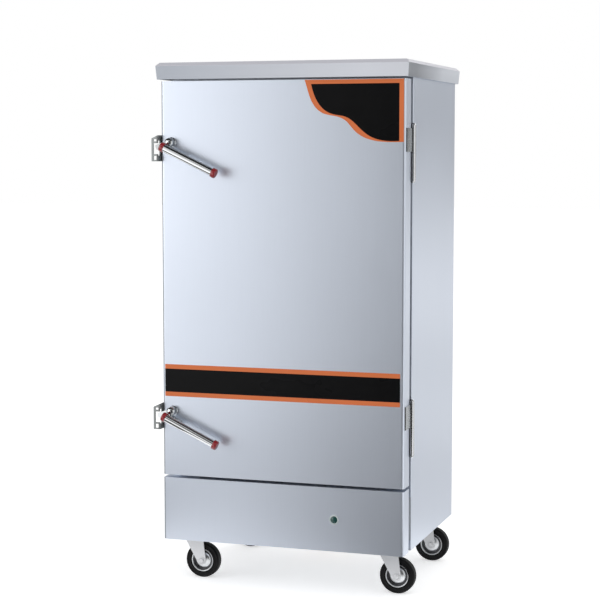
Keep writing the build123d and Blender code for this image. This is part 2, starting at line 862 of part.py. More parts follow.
def cable_gland():
    """The supply cable's gland: hexagon, dome and an inner nut."""
    x, z = gland_x, gland_z
    outer = hexagon(gland_flats, (x, panel_back_face, z), (x, panel_back_face + gland_hex_length, z))
    outer += turned(
        [(0, 0), (gland_radius, 0), (gland_radius * 0.95, gland_dome_length / 2),
         (gland_radius * 0.7, gland_dome_length), (0, gland_dome_length)],
        (x, panel_back_face + gland_hex_length, z), (0, 1, 0))
    outer += rod(gland_radius, (x, panel_front_face - gland_hex_length, z), (x, panel_back_face, z))
    outer += hexagon(
        gland_flats, (x, panel_front_face - gland_hex_length, z),
        (x, panel_front_face - gland_hex_length / 2, z))
    return outer - rod(
        gland_bore, (x, panel_front_face - 2 * gland_hex_length, z), (x, back_y + cap_height, z))


def terminal_block():
    """The supply terminal block on the floor pan, one open slot for each pole."""
    width, depth, height = terminal_block_size
    x1 = half_width - sheet - fit - sheet - electric_side_gap
    x0 = x1 - depth
    base = rail_top + sheet
    y0 = electric_front
    body = block(x0, x1, y0, y0 + width, base, base + height)
    pitch = width / terminal_poles
    for pole in range(terminal_poles):
        y = y0 + pole * pitch
        body -= block(
            x0 - overrun, x1 + overrun, y + terminal_wall / 2, y + pitch - terminal_wall / 2,
            base + height - terminal_slot_depth, base + height + overrun)
    return body


def contactor():
    """The heaters' switching contactor beside the terminal block."""
    width, depth, height = contactor_size
    x1 = half_width - sheet - fit - sheet - electric_side_gap
    y0 = electric_front - electric_spacing - depth / 2
    base = rail_top + sheet
    body = block(x1 - width, x1, y0, y0 + depth, base, base + height)
    body += block(
        x1 - width + contactor_step, x1 - contactor_step, y0 + contactor_step,
        y0 + depth - contactor_step, base + height, base + height + contactor_step)
    return body


def fascia_panel():
    """The box-shaped cover below the door, with lips at its back and a hole for the lamp."""
    outer = block(-half_width, half_width, 0, door_thickness, bottom_z, fascia_top)
    outer = fillet(outer.edges().filter_by(Axis.Z).group_by(Axis.Y)[0], corner_radius)
    hollow = offset(outer, amount=-sheet)
    opening = block(
        -half_width + fascia_lip, half_width - fascia_lip, door_thickness - overrun,
        door_thickness + overrun, bottom_z + fascia_lip, fascia_top - fascia_lip)
    z = bottom_z + lamp_level
    hole = rod(lamp_body_radius + fit, (lamp_x, -overrun, z), (lamp_x, overrun, z))
    return outer - hollow - opening - hole


def fascia_brackets():
    """Two channels that carry the fascia on the side panels' front returns."""
    outer = half_width - fit
    inner = half_width - fascia_lip
    low = (bottom_z + fascia_top - bracket_height) / 2
    points = [(outer, door_thickness), (inner, door_thickness), (inner, frame_y), (outer, frame_y)]
    bracket = folded(points, sheet, low, low + bracket_height, side=Side.RIGHT)
    return [bracket, mirror(bracket, Plane.YZ)]


def lamp_housing():
    """The pilot lamp's bezel and body, with its nut behind the sheet."""
    z = bottom_z + lamp_level
    recess = lamp_lens_radius + running
    bezel = turned(
        [(0, 0), (lamp_bezel_radius, 0), (lamp_bezel_radius, lamp_bezel_height / 2),
         (lamp_bezel_radius - lamp_bezel_height / 2, lamp_bezel_height), (0, lamp_bezel_height)],
        (lamp_x, 0, z), (0, -1, 0))
    housing = bezel + rod(lamp_body_radius, (lamp_x, 0, z), (lamp_x, lamp_body_length, z))
    housing -= rod(recess, (lamp_x, -lamp_bezel_height - overrun, z), (lamp_x, lamp_bezel_height, z))
    nut = rod(lamp_nut_radius, (lamp_x, sheet, z), (lamp_x, sheet + lamp_nut_thickness, z))
    nut -= rod(lamp_body_radius + running, (lamp_x, -overrun, z), (lamp_x, lamp_body_length, z))
    return [housing, nut]


def lamp_lens():
    """The lamp's domed lens, seated in the bezel."""
    r = lamp_lens_radius
    z = bottom_z + lamp_level
    seat = 2 * lamp_bezel_height
    crown = [(r * share, seat + lamp_dome * (1 - share ** 2)) for share in (1, 0.8, 0.55, 0.3, 0)]
    return turned([(0, 0), (r, 0), *crown], (lamp_x, lamp_bezel_height, z), (0, -1, 0))


def door_outer_shell():
    """The door's skin: a pan with rounded upright edges, open at the back."""
    shell = block(-half_width, half_width, 0, door_thickness, door_bottom, door_top)
    shell = fillet(shell.edges().filter_by(Axis.Z).group_by(Axis.Y)[0], corner_radius)
    shell = offset(shell, amount=-sheet, openings=shell.faces().sort_by(Axis.Y)[-1])
    for level in latch_levels.values():
        shell -= rod(
            latch_bolt_radius + running, (latch_x, -overrun, level), (latch_x, overrun, level))
    return shell


def door_inner_pan():
    """The door's inner sheet, with edges folded forward and a raised middle inside the seal."""
    edge = sheet + fit
    base = block(
        -half_width + edge, half_width - edge, door_thickness - pan_flange, door_thickness,
        door_bottom + edge, door_top - edge)
    x = chamber_x - seal_margin - pan_raise_taper
    low = chamber_floor + seal_margin + pan_raise_taper
    high = chamber_top - seal_margin - pan_raise_taper

    def section(grow, y):
        rect = Rectangle(2 * (x + grow), high - low + 2 * grow).face()
        return Plane(origin=(0, y, (low + high) / 2), x_dir=(1, 0, 0), z_dir=(0, -1, 0)) * rect

    raised = loft(
        [section(pan_raise_taper, door_thickness), section(0, door_thickness + pan_raise)], ruled=True)
    solid = base + raised
    return offset(solid, amount=-sheet, openings=solid.faces().sort_by(Axis.Y)[0])


def door_insulation():
    """The foam slab inside the door."""
    edge = sheet + fit + sheet + fit
    return block(
        -half_width + edge, half_width - edge, sheet + door_foam_front_gap + lamp_nut_thickness,
        door_thickness - sheet - fit, door_bottom + edge, door_top - edge)


def door_gasket():
    """The silicone door seal: a flat foot and a hollow bulb, four lengths mitred at the corners."""
    outer_x = seal_outer_x
    low = door_bottom + seal_inset
    high = door_top - seal_inset
    foot_start = door_thickness + fit
    foot_end = foot_start + seal_base
    end = frame_face - fit
    middle = (low + high) / 2

    def ring(inset, width, y0, y1):
        plane = Plane(origin=(0, y0, middle), x_dir=(1, 0, 0), z_dir=(0, 1, 0))
        outside = Rectangle(2 * (outer_x - inset), high - low - 2 * inset)
        within = Rectangle(2 * (outer_x - inset - width), high - low - 2 * (inset + width))
        return extrude(plane * (outside - within), y1 - y0)

    bulb = ring(sheet, seal_width - 2 * sheet, foot_end, end)
    bulb = chamfer(bulb.faces().sort_by(Axis.Y)[-1].edges(), seal_width / 4)
    hollow = ring(seal_width / 4, seal_width / 2, foot_end, end - seal_width / 4)
    seal = ring(0, seal_width, foot_start, foot_end) + bulb - hollow
    reach = 2 * seal_width
    lengths = []
    for side in (-1, 1):
        outer = side * outer_x
        inner = outer - side * reach
        lengths.append([(outer, low), (outer, high), (inner, high - reach), (inner, low + reach)])
        rim = high if side > 0 else low
        core = rim - side * reach
        lengths.append([(-outer_x, rim), (outer_x, rim), (outer_x - reach, core), (-outer_x + reach, core)])
    plane = Plane(origin=(0, door_thickness, 0), x_dir=(1, 0, 0), z_dir=(0, -1, 0))
    return [
        seal & extrude(plane * make_face(Polyline(*corners, close=True)), -(end - door_thickness))
        for corners in lengths]


def corner_outline(shares, left, right, top):
    """A closed outline: the shares' curve, then straight up the right side and along the top."""
    x0 = half_width - corner_right_gap - corner_width
    points = [(x0 + u * corner_width, door_top - v * corner_height) for u, v in shares]
    start = (left, top)
    end = (right, points[-1][1])
    points[0] = start
    points[-1] = end
    curve = Spline(*points)
    sides = Polyline(end, (right, top), start)
    return Plane.XZ * make_face([curve.edge(), *sides.edges()])


def corner_faces():
    """The corner panel's whole outline and the smaller one inside its border."""
    right = half_width - corner_right_gap
    x0 = right - corner_width
    whole = corner_outline(corner_curve_shares, x0, right, door_top - sheet)
    inner_left = x0 + corner_inner_shares[0][0] * corner_width
    inner = corner_outline(
        corner_inner_shares, inner_left, right - corner_trim, door_top - corner_trim)
    return whole, inner


def corner_panel():
    """The black panel at the door's top right corner."""
    inner = corner_faces()[1]
    return extrude(inner, film)


def band_panel():
    """The black band across the door."""
    low = door_bottom + band_level
    high = low + band_height
    x = half_width - corner_radius
    return block(-x, half_width - band_end - corner_radius, -film, 0, low + band_trim, high - band_trim)


def panel_trim():
    """The orange borders: two stripes along the band and the corner panel's frame."""
    low = door_bottom + band_level
    high = low + band_height
    x = half_width - corner_radius
    right = half_width - band_end - corner_radius
    whole, inner = corner_faces()
    border = extrude(whole, film) - extrude(inner, film)
    return [
        block(-x, right, -film, 0, low, low + band_trim),
        block(-x, right, -film, 0, high - band_trim, high), border]


def knuckle(low, high, round_top):
    """Half of a hinge barrel, rounded at its outer end and flat at the split."""
    length = high - low
    r = hinge_radius
    profile = [(0, 0), (r, 0), (r, length - hinge_tip), (r * 0.82, length - hinge_tip / 3),
               (r * 0.45, length), (0, length)]
    if not round_top:
        profile = [(radius, length - h) for radius, h in profile]
    return turned(profile, (hinge_x, hinge_y, low), (0, 0, 1))


def hinge_door_leaves():
    """The hinges' upper halves: leaf flat on the door's side and the upper barrel, bored for the pin."""
    pieces = []
    t = hinge_leaf_thickness
    for level in hinge_levels:
        low = level + hinge_split_gap
        high = level + hinge_length / 2
        leaf_low = level + hinge_split_gap
        leaf = block(
            half_width, half_width + t, hinge_door_leaf_reach, hinge_y,
            leaf_low + t, leaf_low + hinge_leaf_height)
        half = knuckle(low, high, True) + leaf
        half -= rod(
            hinge_pin_radius + running, (hinge_x, hinge_y, low - overrun),
            (hinge_x, hinge_y, high - 2 * hinge_tip + running))
        pieces.append(half)
    return pieces


def hinge_frame_leaves():
    """The hinges' lower halves: leaf flat on the side panel's front return and the lower barrel."""
    pieces = []
    t = hinge_leaf_thickness
    for level in hinge_levels:
        low = level - hinge_length / 2
        top = level - hinge_leaf_height
        leaf = block(half_width - front_return + fit, half_width, frame_y - t, frame_y, top, level)
        web = block(half_width - t, hinge_x, hinge_y, frame_y, top, level)
        half = knuckle(low, level, False) + leaf + web
        half -= rod(
            hinge_pin_radius, (hinge_x, hinge_y, low + 2 * hinge_tip), (hinge_x, hinge_y, level + overrun))
        pieces.append(half)
    return pieces


def hinge_pins():
    """The hinge pins, fixed in the lower halves; the door lifts off them."""
    pieces = []
    for level in hinge_levels:
        low = level - hinge_length / 2 + 2 * hinge_tip
        high = level + hinge_length / 2 - 2 * hinge_tip - fit
        pieces.append(rod(hinge_pin_radius, (hinge_x, hinge_y, low), (hinge_x, hinge_y, high)))
    return pieces


def latch_bases():
    """The round seats on the door's face and the bolts that the levers turn on."""
    pieces = []
    for level in latch_levels.values():
        base = turned(
            [(0, 0), (latch_base_radius, 0), (latch_base_radius, latch_base_thickness / 2),
             (latch_base_radius - latch_base_thickness / 2, latch_base_thickness),
             (0, latch_base_thickness)], (latch_x, 0, level), (0, -1, 0))
        bolt_end = -latch_bolt_length
        base += rod(latch_bolt_radius, (latch_x, sheet, level), (latch_x, bolt_end, level))
        pieces.append(base)
    return pieces


def tube_frame(level):
    """The tube's middle line: its start and its direction."""
    slope = radians(latch_slope)
    along = Vector(cos(slope), 0, -sin(slope))
    down = Vector(-sin(slope), 0, -cos(slope))
    near = Vector(latch_x, -tube_front, level) + down * tube_below_pivot
    return near - along * tube_past_pivot, along


def latch_lever(level):
    """A latch's cast lever: domed hub, saddle under the tube, and the nose that enters the keeper."""
    back = latch_base_thickness + fit
    side = hub_height - hub_dome
    profile = [
        (0, back), (hub_radius, back), (hub_radius, side), (hub_radius * 0.93, side + hub_dome * 0.4),
        (hub_radius * 0.72, side + hub_dome * 0.75), (hub_radius * 0.4, side + hub_dome * 0.95),
        (0, hub_height)]
    hub = turned(profile, (latch_x, 0, level), (0, -1, 0))
    start, along = tube_frame(level)
    middle = start + along * (tube_cap_cup + tube_cap_gap + saddle_length / 2)
    depth = tube_front - saddle_back
    saddle = Box(saddle_length, depth, saddle_width)
    saddle = fillet(saddle.edges().filter_by(Axis.Y), saddle_width / 4)
    place = Location((middle.X, -saddle_back - depth / 2, middle.Z), (0, latch_slope, 0))
    saddle = place * saddle
    tube_line = (start - along * tube_length, start + along * (2 * tube_length))
    clear = rod(tube_radius + running, tuple(tube_line[0]), tuple(tube_line[1]))
    nose = block(
        -nose_length, 0, -nose_front, -nose_front + nose_thickness, -nose_height / 2, nose_height / 2)
    nose = fillet(nose.edges().filter_by(Axis.Y).group_by(Axis.X)[0], nose_height / 4)
    nose = Location((latch_x, 0, level), (0, -nose_angle, 0)) * nose
    lever = hub + saddle + nose - clear
    bore = rod(
        latch_bolt_radius + running, (latch_x, overrun, level), (latch_x, -latch_bolt_length - fit, level))
    return lever - bore


def grip_tube(level):
    """A latch's handle tube, open at both ends."""
    start, along = tube_frame(level)
    end = start + along * tube_length
    return tube(tube_radius, tube_radius - tube_wall, tuple(start), tuple(end))


def end_caps(level):
    """The two red cups that close a handle tube: a domed head and a sleeve over the tube's end."""
    start, along = tube_frame(level)
    end = start + along * tube_length
    bore = tube_radius + running
    head = tube_cap_head
    caps = []
    for place, out in ((start, along * -1), (end, along)):
        profile = [
            (0, 0), (bore, 0), (bore, -tube_cap_cup), (tube_cap_radius, -tube_cap_cup),
            (tube_cap_radius, head * 0.4), (tube_cap_radius * 0.86, head * 0.85),
            (tube_cap_radius * 0.5, head), (0, head)]
        caps.append(turned(profile, tuple(place), tuple(out)))
    return caps


def latch_keepers():
    """The angle keepers on the left side, each on a packer: the turned-out lip is a comb before the nose."""
    pieces = []
    t = keeper_sheet
    inner = -half_width - keeper_packer
    outer = inner - keeper_lip_width
    face = -keeper_lip_front
    foot_start = frame_y + keeper_foot_gap
    foot_end = foot_start + keeper_foot_length
    for level in latch_levels.values():
        low = level - keeper_height + keeper_rise
        top = level + keeper_rise
        points = [(inner, foot_end), (inner, face), (outer, face)]
        keeper = folded(points, t, low, top, side=Side.RIGHT, radius=keeper_bend)
        packer = block(-half_width - keeper_packer, -half_width, foot_start, foot_end, low, top)
        for drop, height in zip(keeper_window_tops, keeper_window_heights):
            closed = drop != keeper_window_tops[1]
            right = inner - keeper_bend - fit if closed else inner + overrun
            keeper -= block(
                outer + keeper_post, right, face - overrun, face + keeper_bend + overrun,
                top - drop - height, top - drop)
        keeper -= block(
            inner - t - overrun, inner + overrun, face + t, -keeper_slot_back,
            level - keeper_slot_fall, level + keeper_slot_rise)
        slant = make_face(Polyline(
            (outer - t, top - keeper_slant), (inner, top + fit), (outer - t, top + keeper_slant), close=True))
        keeper -= extrude(Plane.XZ * slant, keeper_lip_front + overrun)
        for y, z in keeper_screw_places():
            hole = rod(keeper_screw_radius + fit, (inner - t - overrun, y, z), (-half_width + overrun, y, z))
            keeper -= hole
            packer -= hole
        pieces += [keeper, packer]
    return pieces


def keeper_screw_places():
    """The (y, z) places of the keepers' screws, two for each keeper."""
    y = frame_y + keeper_foot_gap + keeper_foot_length / 2
    places = []
    for level in latch_levels.values():
        middle = level + keeper_rise - keeper_height / 2
        places += [(y, middle - keeper_screw_pitch / 2), (y, middle + keeper_screw_pitch / 2)]
    return places


def keeper_screws():
    """Two pan-head screws for each keeper."""
    pieces = []
    face = -half_width - keeper_packer - keeper_sheet
    h = keeper_screw_head_height
    for y, z in keeper_screw_places():
        screw = turned(
            [(0, 0), (keeper_screw_head, 0), (keeper_screw_head * 0.85, h * 0.7), (0, h)],
            (face, y, z), (-1, 0, 0))
        screw += rod(keeper_screw_radius, (face, y, z), (-half_width + sheet, y, z))
        pieces.append(screw)
    return pieces


def caster_plates():
    """The casters' fixed halves: top plate, upper race and riveted king pin."""
    pieces = []
    for x, y in caster_places.values():
        plate = Pos(x, y, bottom_z - plate_thickness) * extrude(
            RectangleRounded(plate_length, plate_width, plate_corner), plate_thickness)
        for dx in (-plate_hole_x / 2, plate_hole_x / 2):
            for dy in (-plate_hole_y / 2, plate_hole_y / 2):
                plate -= rod(
                    bolt_radius + fit, (x + dx, y + dy, bottom_z - 2 * plate_thickness),
                    (x + dx, y + dy, bottom_z + overrun))
        race_top = bottom_z - plate_thickness
        race_low = fork_crown_top + race_gap
        height = race_top - race_low
        plate += turned(
            [(0, height), (race_waist, height), (race_radius, height / 2), (race_radius, 0), (0, 0)],
            (x, y, race_low), (0, 0, 1))
        head_top = fork_crown_top - fork_wall - race_gap
        plate += rod(king_pin_radius, (x, y, head_top), (x, y, race_low))
        plate += rod(king_pin_head_radius, (x, y, head_top - king_pin_head_height), (x, y, head_top))
        pieces.append(plate)
    return pieces


def caster_bolts():
    """Four bolts for each caster plate, up into the base frame."""
    pieces = []
    for x, y in caster_places.values():
        for dx in (-plate_hole_x / 2, plate_hole_x / 2):
            for dy in (-plate_hole_y / 2, plate_hole_y / 2):
                head_top = bottom_z - plate_thickness
                bolt = hexagon(
                    2 * bolt_head_radius, (x + dx, y + dy, head_top - bolt_head_height),
                    (x + dx, y + dy, head_top))
                bolt += rod(bolt_radius, (x + dx, y + dy, head_top), (x + dx, y + dy, head_top + bolt_length))
                pieces.append(bolt)
    return pieces


def caster_fork(x, y):
    """A pressed fork with two tapering legs and an eye for the axle, and the axle bolt."""
    wheel_x = x + caster_trail
    crown_half = fork_top_width / 2
    outline = leg_outline(x, crown_half, wheel_x)
    fork = Pos(0, y + fork_outer, 0) * extrude(Plane.XZ * outline, 2 * fork_outer)
    top_edges = fork.faces().sort_by(Axis.Z)[-1].edges().filter_by(Axis.X)
    fork = fillet(top_edges, fork_bend)
    room = block(
        x - 2 * crown_half, x + 2 * wheel_radius, y - fork_inner, y + fork_inner,
        0, fork_crown_top - fork_wall)
    room = fillet(room.faces().sort_by(Axis.Z)[-1].edges().filter_by(Axis.X), fork_bend - fork_wall)
    fork -= room
    fork -= rod(
        king_pin_radius + running, (x, y, fork_crown_top - 2 * fork_wall), (x, y, fork_crown_top + overrun))
    reach = fork_outer + axle_head_height
    fork -= rod(
        axle_radius + running, (wheel_x, y - reach, wheel_radius), (wheel_x, y + reach, wheel_radius))
    axle = rod(axle_radius, (wheel_x, y - fork_outer, wheel_radius), (wheel_x, y + fork_outer, wheel_radius))
    for side in (-1, 1):
        axle += turned(
            [(0, 0), (axle_head_radius, 0), (axle_head_radius, axle_head_height / 2),
             (axle_head_radius * 0.7, axle_head_height), (0, axle_head_height)],
            (wheel_x, y + side * fork_outer, wheel_radius), (0, side, 0))
    return [fork, axle]


def leg_outline(x, crown_half, wheel_x):
    """A fork leg's outline: a straight top, two tangent sides and a round end about the axle."""
    centre = (wheel_x, wheel_radius)
    left_top = (x - crown_half, fork_crown_top)
    right_top = (x + crown_half, fork_crown_top)

    def tangent(point, side):
        dx, dz = point[0] - centre[0], point[1] - centre[1]
        distance = hypot(dx, dz)
        spread = radians(90) - atan2(fork_eye_radius, (distance ** 2 - fork_eye_radius ** 2) ** (1 / 2))
        angle = atan2(dz, dx) + side * spread
        return (centre[0] + fork_eye_radius * cos(angle), centre[1] + fork_eye_radius * sin(angle))

    left = tangent(left_top, 1)
    right = tangent(right_top, -1)
    bottom = (centre[0], centre[1] - fork_eye_radius)
    lines = [
        Edge.make_line((*left_top, 0), (*right_top, 0)), Edge.make_line((*right_top, 0), (*right, 0)),
        Edge.make_three_point_arc((*right, 0), (*bottom, 0), (*left, 0)),
        Edge.make_line((*left, 0), (*left_top, 0))]
    return make_face(lines)


def wheel_hub(x, y):
    """A pressed steel wheel: centre tube, dished web and rim, bored for the axle."""
    half_tube = fork_inner - hub_tube_side_gap
    half_rim = rim_width / 2
    bore = axle_radius + running
    side = [
        (hub_tube_radius, half_tube), (hub_tube_radius + 1.5 * sheet, half_tube * 0.7),
        (rim_radius * 0.5, half_rim * 0.5), (rim_radius * 0.7, half_rim * 0.45),
        (rim_radius * 0.82, half_rim * 0.84), (rim_radius * 0.9, half_rim), (rim_radius, half_rim)]
    profile = [(bore, -half_tube), (bore, half_tube), *side]
    profile += [(radius, -height) for radius, height in reversed(side)]
    return turned(profile, (x + caster_trail, y, wheel_radius), (0, 1, 0))


def wheel_tyre(x, y):
    """The solid rubber tyre, crowned across its tread and rounded at its shoulders."""
    half = wheel_width / 2
    edge = wheel_radius - tyre_shoulder
    inner = rim_radius
    profile = make_face([
        Edge.make_line((inner, 0, -half), (inner, 0, half)),
        Edge.make_line((inner, 0, half), (edge, 0, half)),
        Edge.make_three_point_arc((edge, 0, half), (wheel_radius, 0, 0), (edge, 0, -half)),
        Edge.make_line((edge, 0, -half), (inner, 0, -half))])
    tyre = revolve(profile, Axis.Z)
    return Plane(origin=(x + caster_trail, y, wheel_radius), z_dir=(0, 1, 0)).location * tyre


def build_all():
    """Every sub-part by its node's name."""
    parts = {
        "right_side_panel": side_panel(), "left_side_panel": left_panel(), "back_panel": back_panel(),
        "top_cover": top_cover(), "base_frame": base_frame(), "floor_pan": floor_pan(),
        "front_frame": front_frame(), "inner_liner": inner_liner(), "wall_insulation": wall_insulation(),
        "rack_posts": rack_posts(), "rack_runners": rack_runners(), "water_tank": water_tank(),
        "steam_baffle": steam_baffle(), "heating_elements": heating_elements(), "float_box": float_box(),
        "float_valve": float_valve(), "float": float_arm(), "drain_valve": drain_valve(),
        "drain_lever": drain_lever(), "steam_vent": steam_vent(), "cable_gland": cable_gland(),
        "terminal_block": terminal_block(), "contactor": contactor(), "fascia_panel": fascia_panel(),
        "fascia_brackets": fascia_brackets(), "lamp_housing": lamp_housing(), "lamp_lens": lamp_lens(),
        "door_outer_shell": door_outer_shell(), "door_inner_pan": door_inner_pan(),
        "door_insulation": door_insulation(), "door_gasket": door_gasket(), "corner_panel": corner_panel(),
        "band_panel": band_panel(), "panel_trim": panel_trim(), "hinge_door_leaves": hinge_door_leaves(),
        "hinge_frame_leaves": hinge_frame_leaves(), "hinge_pins": hinge_pins(), "latch_bases": latch_bases(),
        "latch_keepers": latch_keepers(), "keeper_screws": keeper_screws(), "caster_plates": caster_plates(),
        "caster_bolts": caster_bolts()}
    for name, level in latch_levels.items():
        parts[name + "_latch_lever"] = latch_lever(level)
        parts[name + "_grip_tube"] = grip_tube(level)
        parts[name + "_end_caps"] = end_caps(level)
    for name, (x, y) in caster_places.items():
        parts[name + "_fork"] = caster_fork(x, y)
        parts[name + "_wheel"] = wheel_hub(x, y)
        parts[name + "_tyre"] = wheel_tyre(x, y)
    return parts


def solids_of(piece):
    """The separate solids of one sub-part."""
    return list(piece) if isinstance(piece, list) else [piece]


def whole_box(parts):
    """The box around every solid."""
    boxes = [solid.bounding_box() for piece in parts.values() for solid in solids_of(piece)]
    low = [min(getattr(box.min, axis) for box in boxes) for axis in "XYZ"]
    high = [max(getattr(box.max, axis) for box in boxes) for axis in "XYZ"]
    return low, high


parts = build_all()
low, high = whole_box(parts)
centring = Vector(-(low[0] + high[0]) / 2, -(low[1] + high[1]) / 2, -low[2])

os.makedirs("parts", exist_ok=True)
for name, piece in parts.items():
    moved = [Pos(*centring) * solid for solid in solids_of(piece)]
    export_step(moved[0] if len(moved) == 1 else Compound(children=moved), f"parts/{name}.step")
print("nodes", len(parts), "low", low, "high", high, "shift", centring)
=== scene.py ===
"""Looks for a commercial food steamer: its finishes, its fine pieces, the light and the camera.

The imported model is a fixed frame: +Z up, the door faces -Y. Sizes are in metres in that frame, and in
millimetres where a docstring says so.
"""
from __future__ import annotations

import json
import logging
import math
from dataclasses import dataclass, field
from enum import Enum
from typing import Iterable, Sequence

import bpy
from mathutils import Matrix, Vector


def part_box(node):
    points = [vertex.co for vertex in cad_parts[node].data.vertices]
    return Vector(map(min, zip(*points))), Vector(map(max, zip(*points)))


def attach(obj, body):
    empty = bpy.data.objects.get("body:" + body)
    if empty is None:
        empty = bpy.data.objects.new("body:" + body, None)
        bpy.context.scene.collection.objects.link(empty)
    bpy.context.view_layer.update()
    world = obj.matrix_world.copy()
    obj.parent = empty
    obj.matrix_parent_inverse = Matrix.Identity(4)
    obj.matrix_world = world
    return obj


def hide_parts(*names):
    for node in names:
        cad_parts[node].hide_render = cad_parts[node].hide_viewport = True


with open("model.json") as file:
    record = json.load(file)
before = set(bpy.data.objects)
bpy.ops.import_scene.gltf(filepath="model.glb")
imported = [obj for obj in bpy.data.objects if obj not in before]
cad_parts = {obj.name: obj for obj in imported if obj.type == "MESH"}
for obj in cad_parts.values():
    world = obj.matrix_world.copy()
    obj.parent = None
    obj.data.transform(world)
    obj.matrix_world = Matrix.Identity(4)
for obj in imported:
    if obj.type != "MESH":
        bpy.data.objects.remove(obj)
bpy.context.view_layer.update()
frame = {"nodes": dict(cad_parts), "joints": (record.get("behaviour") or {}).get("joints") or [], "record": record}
LOG = logging.getLogger("steamer")
MM = 0.001
WELD_GAP = 0.01 * MM
FLAT_ANGLE = math.radians(0.5)
NOISE_LOW, NOISE_HIGH = 0.3, 0.7

Colour = tuple[float, float, float]
Triple = tuple[float, float, float]
Rings = Sequence[tuple[float, float]]
Profile = tuple[tuple[float, float], ...]


def take(*pieces: bpy.types.Object) -> None:
    """Selects these pieces alone, the first of them active.

    Args:
        pieces: what to select. With none, nothing stays selected.
    """
    if bpy.context.object is not None and bpy.context.object.mode != "OBJECT":
        bpy.ops.object.mode_set(mode="OBJECT")
    bpy.ops.object.select_all(action="DESELECT")
    for piece in pieces:
        piece.select_set(True)
    if pieces:
        bpy.context.view_layer.objects.active = pieces[0]


def fix_place(piece: bpy.types.Object) -> None:
    """Moves a piece's place, turn and scale into its mesh."""
    take(piece)
    bpy.ops.object.transform_apply(location=True, rotation=True, scale=True)


def joined(name: str, pieces: Sequence[bpy.types.Object]) -> bpy.types.Object:
    """Makes one piece of several.

    Args:
        name: the joined piece's name.
        pieces: what to join; their slots are merged by material.

    Returns:
        The joined piece.
    """
    take(*pieces)
    if len(pieces) > 1:
        bpy.ops.object.join()
    pieces[0].name = name
    pieces[0].data.name = name
    return pieces[0]


def twin(piece: bpy.types.Object, name: str, shift: Sequence[float]) -> bpy.types.Object:
    """Copies a piece with its own mesh.

    Args:
        piece: what to copy.
        name: the copy's name.
        shift: how far the copy is moved.

    Returns:
        The copy.
    """
    take(piece)
    bpy.ops.object.duplicate(linked=False)
    copy = bpy.context.object
    copy.name = name
    copy.data.name = name
    copy.location = Vector(shift)
    fix_place(copy)
    return copy


def turned(
        name: str, rings: Rings, centre: Sequence[float], axis: Sequence[float], sides: int = 48,
        crease: float = 32.0) -> bpy.types.Object:
    """Turns a piece: a circle is drawn out from ring to ring along its axis.

    Args:
        name: the piece's name.
        rings: radius and height of each ring. A radius of 0 at an end closes it there, and where neither
            end has one, the last ring is bridged to the first.
        centre: where height 0 is.
        axis: the way that heights grow.
        sides: the number of sides.
        crease: the edges sharper than this angle, in degrees, stay sharp.

    Returns:
        The finished piece.
    """
    take()
    body = [ring for ring in rings if ring[0] > 0.0]
    radius, height = body[0]
    bpy.ops.mesh.primitive_circle_add(
        vertices=sides, radius=radius, fill_type="NOTHING", location=(0.0, 0.0, height))
    piece = bpy.context.object
    piece.name = name
    piece.data.name = name
    bpy.ops.object.mode_set(mode="EDIT")
    bpy.ops.mesh.select_all(action="SELECT")
    for wider, higher in body[1:]:
        bpy.ops.mesh.extrude_region_move(TRANSFORM_OT_translate={"value": (0.0, 0.0, higher - height)})
        share = wider / radius
        bpy.ops.transform.resize(value=(share, share, 1.0), center_override=(0.0, 0.0, higher))
        radius, height = wider, higher
    if rings[-1][0] == 0.0:
        close_pole(rings[-1][1] - height)
    bpy.ops.mesh.select_all(action="DESELECT")
    bpy.ops.mesh.select_non_manifold()
    if rings[0][0] == 0.0:
        close_pole(rings[0][1] - body[0][1])
    elif rings[-1][0] > 0.0:
        bpy.ops.mesh.bridge_edge_loops()
    bpy.ops.mesh.select_all(action="SELECT")
    bpy.ops.mesh.normals_make_consistent(inside=False)
    bpy.ops.object.mode_set(mode="OBJECT")
    fix_place(piece)
    bpy.ops.object.shade_smooth_by_angle(angle=math.radians(crease))
    piece.rotation_euler = Vector(axis).to_track_quat("Z", "Y").to_euler()
    piece.location = Vector(centre)
    fix_place(piece)
    return piece


def close_pole(rise: float) -> None:
    """Draws the selected ring out by a rise and closes it at the middle."""
    bpy.ops.mesh.extrude_region_move(TRANSFORM_OT_translate={"value": (0.0, 0.0, rise)})
    bpy.ops.mesh.merge(type="CENTER")


def mirrored_rings(half: Rings) -> list[tuple[float, float]]:
    """The rings of a shape that is alike on both sides of its middle, from one side's, in millimetres."""
    return [(r * MM, -h * MM) for r, h in half] + [(r * MM, h * MM) for r, h in reversed(half)]


def in_metres(rings: Rings) -> list[tuple[float, float]]:
    """Rings given in millimetres, in metres."""
    return [(r * MM, h * MM) for r, h in rings]


